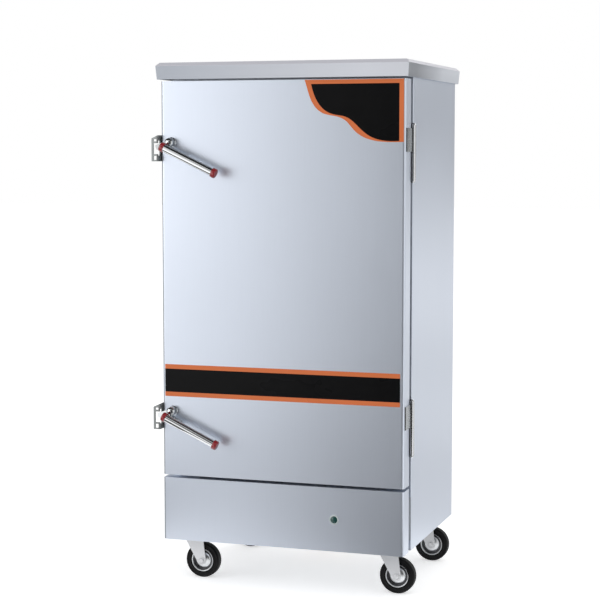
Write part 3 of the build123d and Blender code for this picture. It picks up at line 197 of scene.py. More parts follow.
def eased(node: str, width: float, segments: int = 2, limit: float = 38.0) -> bpy.types.Object:
    """Copies a node of the frame and eases its sharp edges, so that they catch the light.

    Args:
        node: the node's name.
        width: the width of the eased edge.
        segments: the number of strips across it.
        limit: the edges sharper than this angle, in degrees, are eased.

    Returns:
        The copy, which isn't dressed yet.
    """
    source = frame["nodes"][node]
    piece = bpy.data.objects.new(f"{node}_eased", source.data.copy())
    bpy.context.scene.collection.objects.link(piece)
    take(piece)
    if piece.data.has_custom_normals:
        bpy.ops.mesh.customdata_custom_splitnormals_clear()
    bpy.ops.object.mode_set(mode="EDIT")
    bpy.ops.mesh.select_all(action="SELECT")
    bpy.ops.mesh.remove_doubles(threshold=WELD_GAP)
    bpy.ops.mesh.dissolve_limited(angle_limit=FLAT_ANGLE)
    bpy.ops.object.mode_set(mode="OBJECT")
    bevel = piece.modifiers.new("ease", "BEVEL")
    bevel.width = width
    bevel.segments = segments
    bevel.limit_method = "ANGLE"
    bevel.angle_limit = math.radians(limit)
    bevel.use_clamp_overlap = True
    bpy.ops.object.modifier_apply(modifier=bevel.name)
    bpy.ops.object.shade_smooth_by_angle(angle=math.radians(limit))
    weighted = piece.modifiers.new("flats", "WEIGHTED_NORMAL")
    weighted.keep_sharp = True
    bpy.ops.object.modifier_apply(modifier=weighted.name)
    return piece


def fit_piece(
        piece: bpy.types.Object, body: str, slot: str, finishes: "FinishBook", *nodes: str) -> None:
    """Dresses a piece, makes it ride on its body and stand for its nodes.

    Args:
        piece: the finished piece.
        body: the body that it moves with.
        slot: the record's slot that it takes its finish from.
        finishes: every finish.
        nodes: the nodes of the frame that it stands for.
    """
    if not piece.data.materials:
        finishes.dress(piece, slot)
    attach(piece, body)
    if nodes:
        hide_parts(*nodes)
    LOG.info("built %s on %s: %d faces", piece.name, body, len(piece.data.polygons))


def joint(name: str) -> dict:
    """One of the frame's joints."""
    return next(row for row in frame["joints"] if row["name"] == name)


class Grain(Enum):
    """The way that a sheet's brushing runs, as the scale of its noise along X, Y and Z."""

    UPRIGHT = (900.0, 900.0, 9.0)
    ACROSS = (9.0, 900.0, 900.0)
    ALONG_DEPTH = (900.0, 9.0, 900.0)
    ROLLED = (260.0, 260.0, 260.0)


class Axis(Enum):
    """The way that a finish's painted light and shade runs, as the name of a coordinate."""

    ACROSS = "X"
    DEPTH = "Y"


class NodeSheet:
    """One node material, built step by step round a Principled shader."""

    def __init__(self, name: str, base: Colour, metallic: float, roughness: float) -> None:
        """Starts the material.

        Args:
            name: the material's name.
            base: its base colour, linear.
            metallic: 1 for bare metal, 0 for the rest.
            roughness: its roughness where nothing varies it.
        """
        self.material = bpy.data.materials.new(name)
        self.material.use_nodes = True
        self.nodes = self.material.node_tree.nodes
        self.links = self.material.node_tree.links
        self.shader = next(n for n in self.nodes if n.type == "BSDF_PRINCIPLED")
        self.set("Base Color", (*base, 1.0))
        self.set("Metallic", metallic)
        self.set("Roughness", roughness)
        self.coordinates = self.nodes.new("ShaderNodeTexCoord").outputs["Object"]

    def set(self, socket: str, value: float | tuple) -> None:
        """Sets a constant on the shader's own socket."""
        self.shader.inputs[socket].default_value = value

    def noise(
            self, scale: Sequence[float], detail: float = 2.0, rough: float = 0.5) -> bpy.types.NodeSocket:
        """Adds noise on Object coordinates.

        Args:
            scale: how often the noise repeats in a metre along X, Y and Z.
            detail: the number of octaves.
            rough: the strength of the finer octaves.

        Returns:
            The noise's value, about 0.3 to 0.7.
        """
        mapping = self.nodes.new("ShaderNodeMapping")
        mapping.inputs["Scale"].default_value = tuple(scale)
        texture = self.nodes.new("ShaderNodeTexNoise")
        texture.inputs["Scale"].default_value = 1.0
        texture.inputs["Detail"].default_value = detail
        texture.inputs["Roughness"].default_value = rough
        self.links.new(self.coordinates, mapping.inputs["Vector"])
        self.links.new(mapping.outputs["Vector"], texture.inputs["Vector"])
        return texture.outputs["Fac"]

    def spread(self, value: bpy.types.NodeSocket, low: float, high: float) -> bpy.types.NodeSocket:
        """Spreads a noise's narrow range over a wanted one.

        Args:
            value: the noise.
            low: what its low end becomes.
            high: what its high end becomes.

        Returns:
            The spread value.
        """
        node = self.nodes.new("ShaderNodeMapRange")
        node.inputs["From Min"].default_value = NOISE_LOW
        node.inputs["From Max"].default_value = NOISE_HIGH
        node.inputs["To Min"].default_value = low
        node.inputs["To Max"].default_value = high
        self.links.new(value, node.inputs["Value"])
        return node.outputs["Result"]

    def rise(self, axis: Axis, start: float, end: float) -> bpy.types.NodeSocket:
        """Adds a value that rises from 0 to 1 along an axis.

        Args:
            axis: the axis.
            start: where on it the value leaves 0, in metres.
            end: where it reaches 1.

        Returns:
            The value.
        """
        split = self.nodes.new("ShaderNodeSeparateXYZ")
        node = self.nodes.new("ShaderNodeMapRange")
        node.inputs["From Min"].default_value = start
        node.inputs["From Max"].default_value = end
        self.links.new(self.coordinates, split.inputs["Vector"])
        self.links.new(split.outputs[axis.value], node.inputs["Value"])
        return node.outputs["Result"]

    def add(self, first: bpy.types.NodeSocket, second: bpy.types.NodeSocket) -> bpy.types.NodeSocket:
        """Adds two values up.

        Args:
            first: one of them.
            second: the other.

        Returns:
            Their sum.
        """
        node = self.nodes.new("ShaderNodeMath")
        node.operation = "ADD"
        self.links.new(first, node.inputs[0])
        self.links.new(second, node.inputs[1])
        return node.outputs["Value"]

    def blend(self, factor: bpy.types.NodeSocket, dark: Colour, light: Colour) -> bpy.types.NodeSocket:
        """Mixes two colours.

        Args:
            factor: 0 for the first colour, 1 for the second.
            dark: the first colour.
            light: the second.

        Returns:
            The colour between them.
        """
        node = self.nodes.new("ShaderNodeMix")
        node.data_type = "RGBA"
        node.inputs["A"].default_value = (*dark, 1.0)
        node.inputs["B"].default_value = (*light, 1.0)
        self.links.new(factor, node.inputs["Factor"])
        return node.outputs["Result"]

    def along(self, grain: Grain) -> None:
        """Turns the shader's stretched gloss along a sheet's brushing.

        Args:
            grain: the way that the brushing runs.
        """
        tangent = self.nodes.new("ShaderNodeTangent")
        tangent.direction_type = "RADIAL"
        tangent.axis = "X" if grain is Grain.ACROSS else "Z"
        self.links.new(tangent.outputs["Tangent"], self.shader.inputs["Tangent"])

    def feed(self, value: bpy.types.NodeSocket, socket: str) -> None:
        """Joins a varying value to one of the shader's sockets."""
        self.links.new(value, self.shader.inputs[socket])

    def bump(self, heights: Iterable[tuple[bpy.types.NodeSocket, float]]) -> None:
        """Adds fine relief.

        Args:
            heights: pairs of a height and its depth in metres, the coarsest first.
        """
        normal = None
        for value, depth in heights:
            node = self.nodes.new("ShaderNodeBump")
            node.inputs["Strength"].default_value = 1.0
            node.inputs["Distance"].default_value = depth
            self.links.new(value, node.inputs["Height"])
            if normal is not None:
                self.links.new(normal, node.inputs["Normal"])
            normal = node.outputs["Normal"]
        self.links.new(normal, self.shader.inputs["Normal"])


@dataclass(frozen=True)
class SheetSteel:
    """Brushed or rolled stainless sheet, with its grain, faint waves and handling smudges.

    A sheet with a painted light tint changes from its tint to that one between two places along an axis, which
    paints light and shade across it.
    """

    name: str
    tint: Colour = (0.76, 0.815, 0.915)
    roughness: float = 0.34
    grain: Grain = Grain.UPRIGHT
    grain_depth: float = 0.0000015
    wave_depth: float = 0.0003
    smudge: float = 0.02
    metallic: float = 0.84
    brushed: float = 0.45
    # painted light and shade: the lighter tint that the sheet runs into, and the axis and places where it does
    painted_light_tint: Colour | None = None
    painted_light_span: tuple[Axis, float, float] = (Axis.ACROSS, 0.0, 1.0)
    cloud_scale: Triple = (3.0, 3.0, 2.2)
    wave_scale: Triple = (1.6, 1.6, 1.1)
    streak_gloss: float = 0.012
    streak_shade: float = 0.98

    def material(self) -> bpy.types.Material:
        """Builds the node material.

        Returns:
            The material.
        """
        sheet = NodeSheet(self.name, self.tint, self.metallic, self.roughness)
        sheet.set("Anisotropic", self.brushed)
        sheet.along(self.grain)
        streaks = sheet.noise(self.grain.value, detail=3.0, rough=0.6)
        clouds = sheet.noise(self.cloud_scale)
        waves = sheet.noise(self.wave_scale, detail=1.0)
        fine = sheet.spread(streaks, -self.streak_gloss, self.streak_gloss)
        broad = sheet.spread(clouds, self.roughness - self.smudge, self.roughness + self.smudge)
        sheet.feed(sheet.add(broad, fine), "Roughness")
        # painted light and shade: the tint runs into the lighter painted light tint along an axis
        if self.painted_light_tint:
            tone = sheet.blend(sheet.rise(*self.painted_light_span), self.tint, self.painted_light_tint)
        else:
            darker = tuple(c * self.streak_shade for c in self.tint)
            tone = sheet.blend(sheet.spread(streaks, 0.0, 1.0), darker, self.tint)
        sheet.feed(tone, "Base Color")
        sheet.bump([(waves, self.wave_depth), (streaks, self.grain_depth)])
        return sheet.material


@dataclass(frozen=True)
class PlatedMetal:
    """Chrome, zinc, nickel or bare turned metal."""

    name: str
    tint: Colour
    roughness: float
    mottle: float = 0.02
    mottle_scale: float = 60.0
    relief: float = 0.00001
    mottle_shade: float = 0.93
    smoothest: float = 0.02

    def material(self) -> bpy.types.Material:
        """Builds the node material.

        Returns:
            The material.
        """
        sheet = NodeSheet(self.name, self.tint, 1.0, self.roughness)
        grains = sheet.noise((self.mottle_scale,) * 3, detail=3.0)
        glossy = max(self.roughness - self.mottle, self.smoothest)
        sheet.feed(sheet.spread(grains, glossy, self.roughness + self.mottle), "Roughness")
        darker = tuple(c * self.mottle_shade for c in self.tint)
        sheet.feed(sheet.blend(sheet.spread(grains, 0.0, 1.0), darker, self.tint), "Base Color")
        sheet.bump([(grains, self.relief)])
        return sheet.material


@dataclass(frozen=True)
class Coating:
    """Plastic film, gloss plastic, moulded plastic or paint: a coloured surface that isn't metal."""

    name: str
    colour: Colour
    roughness: float
    coat: float = 0.0
    grain_scale: float = 420.0
    grain_depth: float = 0.000015
    variation: float = 0.12
    gloss: float = 0.5
    coat_roughness: float = 0.06
    cloud_scale: Triple = (9.0, 9.0, 9.0)
    cloud_gloss: float = 0.15

    def material(self) -> bpy.types.Material:
        """Builds the node material.

        Returns:
            The material.
        """
        sheet = NodeSheet(self.name, self.colour, 0.0, self.roughness)
        sheet.set("Specular IOR Level", self.gloss)
        sheet.set("Coat Weight", self.coat)
        sheet.set("Coat Roughness", self.coat_roughness)
        grains = sheet.noise((self.grain_scale,) * 3)
        clouds = sheet.noise(self.cloud_scale)
        darker = tuple(c * (1.0 - self.variation) for c in self.colour)
        sheet.feed(sheet.blend(sheet.spread(clouds, 0.0, 1.0), darker, self.colour), "Base Color")
        swing = self.roughness * self.cloud_gloss
        sheet.feed(sheet.spread(clouds, self.roughness - swing, self.roughness + swing), "Roughness")
        sheet.bump([(grains, self.grain_depth)])
        return sheet.material


@dataclass(frozen=True)
class LensPlastic:
    """Deep coloured clear plastic."""

    name: str
    colour: Colour
    roughness: float = 0.12
    coat: float = 0.7
    clearness: float = 0.25
    refraction: float = 1.49
    cell_scale: float = 500.0
    cell_depth: float = 0.00004
    cell_shade: float = 0.55

    def material(self) -> bpy.types.Material:
        """Builds the node material.

        Returns:
            The material.
        """
        sheet = NodeSheet(self.name, self.colour, 0.0, self.roughness)
        sheet.set("Coat Weight", self.coat)
        sheet.set("Transmission Weight", self.clearness)
        sheet.set("IOR", self.refraction)
        cells = sheet.noise((self.cell_scale,) * 3, detail=1.0)
        darker = tuple(c * self.cell_shade for c in self.colour)
        sheet.feed(sheet.blend(sheet.spread(cells, 0.0, 1.0), darker, self.colour), "Base Color")
        sheet.bump([(cells, self.cell_depth)])
        return sheet.material


class FinishBook:
    """Every finish, made once: those of the record's slots, and extra ones for single faces and pieces."""

    finishes: dict[str, SheetSteel | PlatedMetal | Coating | LensPlastic] = {
        "stainless_skin": SheetSteel("brushed_skin"),
        "stainless_inner": SheetSteel(
            "mill_inner", (0.70, 0.725, 0.76), 0.34, Grain.ALONG_DEPTH,
            grain_depth=0.000006, wave_depth=0.0004, smudge=0.05),
        "frame_steel": Coating(
            "grey_frame_paint", (0.28, 0.29, 0.31), 0.5, grain_scale=700.0, grain_depth=0.00003),
        "zinc_steel": PlatedMetal(
            "bright_zinc", (0.80, 0.815, 0.83), 0.3, mottle=0.08, mottle_scale=35.0, relief=0.00002),
        "polished_steel": PlatedMetal(
            "polished_steel", (0.62, 0.645, 0.66), 0.2, mottle=0.05, mottle_scale=90.0),
        "chrome_tube": PlatedMetal(
            "mirror_chrome", (0.86, 0.875, 0.89), 0.05, mottle=0.015, mottle_scale=40.0, relief=0.000004),
        "red_cap": Coating(
            "dark_red_gloss", (0.30, 0.018, 0.024), 0.18, coat=0.8, grain_scale=300.0, grain_depth=0.000006),
        "foam": Coating(
            "rigid_foam", (0.75, 0.58, 0.26), 0.85, grain_scale=260.0, grain_depth=0.0004, variation=0.25),
        "silicone": Coating(
            "dark_silicone", (0.03, 0.03, 0.032), 0.5, grain_scale=380.0, grain_depth=0.00003),
        "black_film": Coating(
            "black_film", (0.005, 0.005, 0.0055), 0.3, grain_scale=500.0, grain_depth=0.000006, gloss=0.1),
        "orange_film": Coating(
            "orange_film", (0.70, 0.18, 0.06), 0.32, grain_scale=500.0, grain_depth=0.000006,
            variation=0.06, gloss=0.25),
        "lamp_plastic": Coating("pale_bezel", (0.60, 0.66, 0.67), 0.28, coat=0.3),
        "green_lens": LensPlastic("green_lens", (0.02, 0.11, 0.098)),
        "valve_brass": PlatedMetal(
            "turned_brass", (0.72, 0.52, 0.24), 0.26, mottle=0.06, mottle_scale=120.0),
        "lever_paint": Coating("red_dipped_grip", (0.42, 0.02, 0.018), 0.35, coat=0.4),
        "float_plastic": Coating("float_moulding", (0.72, 0.72, 0.68), 0.42),
        "black_plastic": Coating("black_moulding", (0.018, 0.018, 0.019), 0.42),
        "grey_plastic": Coating("grey_moulding", (0.24, 0.24, 0.23), 0.45),
        "tyre_rubber": Coating(
            "black_rubber", (0.0055, 0.0055, 0.006), 0.42, grain_scale=260.0, grain_depth=0.00006,
            variation=0.3, gloss=0.16)}

    extras: dict[str, Coating | SheetSteel | PlatedMetal] = {
        "cover_sheet": SheetSteel(
            "cover_sheet", (0.53, 0.565, 0.63), 0.42, Grain.ACROSS, metallic=0.2),
        # painted light and shade: the front runs from darker at the left to lighter at the right, the sides from
        # darker at the front corner to lighter behind, and the rounded fold is a lighter painted highlight
        "cover_front": SheetSteel(
            "cover_front", (0.45, 0.48, 0.535), 0.42, Grain.ACROSS, metallic=0.2,
            painted_light_tint=(0.77, 0.79, 0.85), painted_light_span=(Axis.ACROSS, -0.33, 0.25)),
        "cover_side": SheetSteel(
            "cover_side", (0.26, 0.275, 0.305), 0.42, Grain.ACROSS, metallic=0.2,
            painted_light_tint=(0.66, 0.69, 0.745), painted_light_span=(Axis.DEPTH, -0.2, 0.1)),
        "cover_fold": SheetSteel(
            "cover_fold", (0.66, 0.66, 0.72), 0.4, Grain.ACROSS, metallic=0.1),
        "keeper_nickel": SheetSteel(
            "keeper_nickel", (0.34, 0.36, 0.36), 0.45, Grain.ROLLED, metallic=0.6, brushed=0.0),
        "fork_zinc": SheetSteel(
            "fork_zinc", (0.80, 0.805, 0.82), 0.4, Grain.ROLLED,
            grain_depth=0.000002, wave_depth=0.00005, metallic=0.3),
        # painted shade: a dark finish for the wheel dish's recess ring, where shade falls in the groove
        "shaded_recess": PlatedMetal(
            "shaded_recess", (0.10, 0.10, 0.105), 0.4, mottle=0.06, mottle_scale=60.0),
        "hinge_steel": PlatedMetal(
            "hinge_steel", (0.42, 0.44, 0.455), 0.22, mottle=0.04, mottle_scale=90.0),
        "barrel_steel": PlatedMetal(
            "barrel_steel", (0.72, 0.735, 0.755), 0.14, mottle=0.03, mottle_scale=90.0),
        # painted shade: a darker finish for the bend along the door skin's and fascia's left edge
        "bend_steel": SheetSteel("bend_steel", (0.33, 0.35, 0.385), 0.55, metallic=0.1),
        "lever_polish": PlatedMetal(
            "lever_polish", (0.66, 0.68, 0.69), 0.09, mottle=0.03, mottle_scale=70.0),
        "worn_tread": Coating(
            "worn_tread", (0.02, 0.02, 0.02), 0.62, grain_scale=300.0, grain_depth=0.00008,
            variation=0.35, gloss=0.2)}

    def __init__(self) -> None:
        """Starts with nothing made."""
        self.made: dict[str, bpy.types.Material] = {}

    def get(self, slot: str) -> bpy.types.Material:
        """Makes or finds the material of a slot.

        Args:
            slot: the record's slot.

        Returns:
            Its material.
        """
        if slot not in self.made:
            self.made[slot] = self.finishes[slot].material()
        return self.made[slot]

    def extra(self, name: str) -> bpy.types.Material:
        """Makes or finds a finish that has no slot of its own, such as a worn face's.

        Args:
            name: the finish's name.

        Returns:
            Its material.
        """
        if name not in self.made:
            self.made[name] = self.extras[name].material()
        return self.made[name]

    def dress(self, piece: bpy.types.Object, slot: str) -> None:
        """Gives a piece one slot's material all over."""
        piece.data.materials.clear()
        piece.data.materials.append(self.get(slot))

    def dress_extra(self, piece: bpy.types.Object, name: str) -> None:
        """Gives a piece one extra finish all over."""
        piece.data.materials.clear()
        piece.data.materials.append(self.extra(name))

    def dress_frame(self) -> None:
        """Gives every node of the frame its slot's material."""
        for row in frame["record"]["subparts"]:
            node = frame["nodes"][row["node"]]
            for holder in node.material_slots:
                holder.material = self.get(row["material_slot"])
            LOG.info("dressed %s as %s", row["node"], row["material_slot"])


@dataclass
class Caster:
    """One swivel caster: a ribbed rubber tyre on a dished steel wheel in a pressed fork.

    The tyre, the wheel and the washer are rings of radius and height, in millimetres. The recess is the
    dish's ring that gets painted shade: its inner and outer radius and its half depth.
    """

    prefix: str
    finishes: FinishBook
    sides: int = 72
    tread_radius: float = 49.2 * MM
    tread_tilt: float = 0.3
    fork_ease: float = 0.7 * MM
    washer_offset: float = 19.5 * MM
    tyre_half: Profile = (
        (33.0, 12.3), (33.6, 13.2), (34.6, 13.7), (36.2, 13.7), (36.9, 13.2), (37.5, 12.9), (43.4, 12.9),
        (44.2, 13.4), (45.6, 13.9), (46.9, 13.5), (48.2, 12.2), (49.2, 10.6), (49.35, 10.1), (49.75, 9.7),
        (50.0, 4.0))
    wheel_half: Profile = (
        (5.3, 16.1), (5.6, 16.5), (8.9, 16.5), (9.5, 16.0), (9.8, 13.6), (10.6, 12.0), (12.0, 11.0),
        (14.0, 10.4), (16.5, 9.7), (19.0, 8.7), (21.0, 7.3), (22.6, 5.6), (23.6, 4.6), (24.6, 4.2),
        (28.2, 4.2), (29.1, 4.9), (29.6, 6.6), (29.9, 11.4), (30.3, 12.4), (31.1, 12.9), (32.0, 12.8),
        (32.6, 12.2), (32.9, 11.4))
    recess: Triple = (22.8 * MM, 29.8 * MM, 8.0 * MM)
    washer: Profile = (
        (8.3, 0.0), (11.0, 0.0), (11.3, 0.3), (11.1, 0.8), (10.6, 1.0), (8.3, 1.0))

    def build(self) -> None:
        """Builds the caster's moving pieces at their joints."""
        hub = Vector(joint(f"{self.prefix}_wheel_spin")["pos_m"])
        self.tyre(hub)
        self.wheel(hub)
        self.fork(hub)

    def tyre(self, hub: Vector) -> None:
        """Builds the tyre: a bead, a sunk side, a shoulder line and a flat tread that is worn paler.

        Args:
            hub: the wheel's middle.
        """
        piece = turned(f"{self.prefix}_rubber", mirrored_rings(self.tyre_half), hub, (0, 1, 0), self.sides)
        self.finishes.dress(piece, "tyre_rubber")
        piece.data.materials.append(self.finishes.extra("worn_tread"))
        for face in piece.data.polygons:
            offset = face.center - hub
            reach = math.hypot(offset.x, offset.z)
            if reach > self.tread_radius and abs(face.normal.y) < self.tread_tilt:
                face.material_index = 1
        fit_piece(piece, f"{self.prefix}_roller", "tyre_rubber", self.finishes, f"{self.prefix}_tyre")

    def wheel(self, hub: Vector) -> None:
        """Builds the wheel: a hub tube, a dish and a rolled rim, with painted shade in the dish's recess ring.

        Args:
            hub: the wheel's middle.
        """
        piece = turned(f"{self.prefix}_dish", mirrored_rings(self.wheel_half), hub, (0, 1, 0), self.sides)
        self.finishes.dress(piece, "zinc_steel")
        # painted shade: the faces of the dish's recess ring get the dark finish
        piece.data.materials.append(self.finishes.extra("shaded_recess"))
        inner, outer, height = self.recess
        for face in piece.data.polygons:
            offset = face.center - hub
            if inner < math.hypot(offset.x, offset.z) < outer and abs(offset.y) < height:
                face.material_index = 1
        fit_piece(piece, f"{self.prefix}_roller", "zinc_steel", self.finishes, f"{self.prefix}_wheel")

    def fork(self, hub: Vector) -> None:
        """Eases the fork's edges and adds a washer under each head of its axle bolt.

        Args:
            hub: the wheel's middle.
        """
        parts = [eased(f"{self.prefix}_fork", self.fork_ease)]
        for side in (-1, 1):
            place = hub + Vector((0.0, side * self.washer_offset, 0.0))
            parts.append(turned(
                f"{self.prefix}_washer", in_metres(self.washer), place, (0, side, 0), self.sides // 2))
        piece = joined(f"{self.prefix}_pressed_fork", parts)
        self.finishes.dress_extra(piece, "fork_zinc")
        fit_piece(piece, f"{self.prefix}_swivel", "zinc_steel", self.finishes, f"{self.prefix}_fork")


@dataclass
class Latch:
    """One door latch: a cast lever with a domed hub, a bright tube and two red cups.

    The cup and the dome are rings of radius and height, in millimetres.
    """

    level: str
    finishes: FinishBook
    tube_radius: float = 11.0 * MM
    tube_lip: float = 0.5 * MM
    slope: float = 25.0
    sides: int = 64
    casting_ease: float = 0.9 * MM
    cup: Profile = (
        (0.0, 0.0), (11.05, 0.0), (11.05, -8.0), (12.8, -8.0), (13.3, -7.75), (13.5, -7.2), (13.5, 0.6),
        (13.35, 1.9), (12.8, 3.0), (11.8, 3.85), (10.2, 4.35), (7.0, 4.5), (0.0, 4.55))
    dome: Profile = (
        (0.0, 6.0), (12.9, 6.0), (13.1, 6.6), (13.15, 14.6), (13.0, 16.4), (12.6, 18.3), (11.8, 20.2),
        (10.6, 22.0), (9.0, 23.6), (7.0, 24.9), (4.8, 25.7), (2.4, 26.15), (0.0, 26.3))

    def build(self) -> None:
        """Builds the latch at its joint."""
        low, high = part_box(f"{self.level}_grip_tube")
        lean = math.radians(self.slope)
        side, rise = self.tube_radius * math.sin(lean), self.tube_radius * math.cos(lean)
        middle = (low.y + high.y) / 2
        start = Vector((low.x + side, middle, high.z - rise))
        end = Vector((high.x - side, middle, low.z + rise))
        self.tube(start, end)
        self.cups(start, end)
        self.lever()

    def tube(self, start: Vector, end: Vector) -> None:
        """Builds the tube, with its cut ends rounded over.

        Args:
            start: the middle of its upper end.
            end: the middle of its lower end.
        """
        length = (end - start).length / MM
        outer, lip = self.tube_radius / MM, self.tube_lip / MM
        rings = [
            (outer - 3 * lip, lip), (outer - 2 * lip, 0.0), (outer - lip, 0.0), (outer, lip),
            (outer, length / 3), (outer, 2 * length / 3), (outer, length - lip), (outer - lip, length),
            (outer - 2 * lip, length), (outer - 3 * lip, length - lip)]
        piece = turned(f"{self.level}_bright_tube", in_metres(rings), start, end - start, self.sides)
        fit_piece(piece, f"{self.level}_latch", "chrome_tube", self.finishes, f"{self.level}_grip_tube")

    def cups(self, start: Vector, end: Vector) -> None:
        """Builds the two cups over the tube's ends.

        Args:
            start: the middle of the tube's upper end.
            end: the middle of its lower end.
        """
        parts = [
            turned(f"{self.level}_cup", in_metres(self.cup), place, out, self.sides)
            for place, out in ((start, start - end), (end, end - start))]
        piece = joined(f"{self.level}_red_cups", parts)
        fit_piece(piece, f"{self.level}_latch", "red_cap", self.finishes, f"{self.level}_end_caps")

    def lever(self) -> None:
        """Eases the casting and sets a smooth dome on its hub."""
        pivot = Vector(joint(f"{self.level}_latch_turn")["pos_m"])
        pivot.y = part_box("door_outer_shell")[0].y
        dome = turned(f"{self.level}_dome", in_metres(self.dome), pivot, (0, -1, 0), self.sides)
        casting = eased(f"{self.level}_latch_lever", self.casting_ease)
        piece = joined(f"{self.level}_cast_lever", [casting, dome])
        self.finishes.dress_extra(piece, "lever_polish")
        fit_piece(
            piece, f"{self.level}_latch", "polished_steel", self.finishes, f"{self.level}_latch_lever")


@dataclass(frozen=True)
class PanHead:
    """A pan-head screw's head with a cross recess.

    The profile is in shares of the radius and of the height. It starts below the face it stands on.
    """

    radius: float
    height: float
    slot_share: float = 0.24
    depth_share: float = 0.62
    reach_share: float = 1.15
    sides: int = 32
    crease: float = 32.0
    profile: Profile = (
        (0.0, -0.2), (0.86, -0.2), (0.97, 0.0), (1.0, 0.16), (0.98, 0.42), (0.9, 0.66), (0.74, 0.85),
        (0.5, 0.96), (0.0, 1.0))

    def build(self, name: str, centre: Vector, out: Vector) -> bpy.types.Object:
        """Models the head, standing on a face.

        Args:
            name: the piece's name.
            centre: the middle of its foot.
            out: the way that it stands out.

        Returns:
            The head.
        """
        rings = [(self.radius * r, self.height * h) for r, h in self.profile]
        head = turned(name, rings, (0.0, 0.0, 0.0), (0.0, 0.0, 1.0), self.sides)
        for turn in (0.0, math.pi / 2):
            self.cut_slot(head, turn)
        take(head)
        bpy.ops.object.shade_smooth_by_angle(angle=math.radians(self.crease))
        head.rotation_euler = out.to_track_quat("Z", "Y").to_euler()
        head.location = centre
        fix_place(head)
        return head

    def cut_slot(self, head: bpy.types.Object, turn: float) -> None:
        """Cuts one arm of the cross.

        Args:
            head: the head, still upright at the origin.
            turn: the way that the arm runs, in radians.
        """
        take()
        length, width = self.radius * self.reach_share, self.radius * self.slot_share
        arm = (length, width, self.height * 2 * self.depth_share)
        bpy.ops.mesh.primitive_cube_add(
            size=1.0, location=(0.0, 0.0, self.height), rotation=(0.0, 0.0, turn), scale=arm)
        cutter = bpy.context.object
        fix_place(cutter)
        take(head)
        cut = head.modifiers.new("recess", "BOOLEAN")
        cut.operation = "DIFFERENCE"
        cut.solver = "EXACT"
        cut.object = cutter
        bpy.ops.object.modifier_apply(modifier=cut.name)
        take(cutter)
        bpy.ops.object.delete()


@dataclass
class KeeperScrews:
    """The keepers' screws, with cross recesses, where the frame has them."""

    finishes: FinishBook
    head: PanHead = PanHead(5.5 * MM, 2.4 * MM)
    ease: float = 0.1 * MM
    digits: int = 4

    def build(self) -> None:
        """Stands a head on each of the frame's screws."""
        node = frame["nodes"]["keeper_screws"]
        low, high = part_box("keeper_screws")
        levels = sorted({round(vertex.co.z, self.digits) for vertex in node.data.vertices})
        groups = [[levels[0]]]
        for level in levels[1:]:
            if level - groups[-1][-1] > 2 * self.head.radius:
                groups.append([])
            groups[-1].append(level)
        parts = [eased("keeper_screws", self.ease)]
        for group in groups:
            place = Vector((low.x + self.head.height, (low.y + high.y) / 2, (group[0] + group[-1]) / 2))
            parts.append(self.head.build("keeper_screw_head", place, Vector((-1.0, 0.0, 0.0))))
        piece = joined("keeper_cross_screws", parts)
        fit_piece(piece, "cabinet", "polished_steel", self.finishes, "keeper_screws")


@dataclass
class BackScrews:
    """The screws that hold the back panel, along its two sides and its top."""

    finishes: FinishBook
    head: PanHead = PanHead(4.6 * MM, 2.1 * MM)
    inset: float = 11.0 * MM
    rows: int = 6
    columns: int = 4

    def build(self) -> None:
        """Models one head and copies it round the panel."""
        low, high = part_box("back_panel")
        out = Vector((0.0, 1.0, 0.0))
        places = []
        for row in range(self.rows):
            z = low.z + self.inset + row * (high.z - low.z - 2 * self.inset) / (self.rows - 1)
            places += [(low.x + self.inset, z), (high.x - self.inset, z)]
        for column in range(1, self.columns - 1):
            x = low.x + self.inset + column * (high.x - low.x - 2 * self.inset) / (self.columns - 1)
            places += [(x, low.z + self.inset), (x, high.z - self.inset)]
        first = self.head.build("back_screw", Vector((places[0][0], high.y, places[0][1])), out)
        parts = [first]
        for x, z in places[1:]:
            parts.append(twin(first, "back_screw", (x - places[0][0], 0.0, z - places[0][1])))
        piece = joined("back_panel_screws", parts)
        fit_piece(piece, "cabinet", "polished_steel", self.finishes)


@dataclass
class PilotLamp:
    """The green pilot lamp: a rounded bezel and a domed lens with fine rings.

    The lens is rings of radius and height, in millimetres.
    """

    finishes: FinishBook
    bezel_ease: float = 0.5 * MM
    sides: int = 48
    crease: float = 20.0
    lens: Profile = (
        (0.0, 0.2), (9.7, 0.2), (9.9, 0.6), (9.9, 5.6), (9.6, 6.3), (8.9, 6.75), (8.4, 6.85), (8.1, 6.95),
        (7.2, 7.5), (6.6, 7.55), (6.3, 7.7), (5.3, 8.1), (4.7, 8.15), (4.4, 8.25), (3.2, 8.6), (1.6, 8.85),
        (0.0, 8.9))

    def build(self) -> None:
        """Builds the bezel and the lens in place."""
        low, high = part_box("lamp_lens")
        back = Vector(((low.x + high.x) / 2, high.y, (low.z + high.z) / 2))
        lens = turned(
            "lamp_ringed_lens", in_metres(self.lens), back, (0, -1, 0), self.sides, self.crease)
        fit_piece(lens, "cabinet", "green_lens", self.finishes, "lamp_lens")
        bezel = eased("lamp_housing", self.bezel_ease)
        bezel.name = "lamp_round_bezel"
        fit_piece(bezel, "cabinet", "lamp_plastic", self.finishes, "lamp_housing")


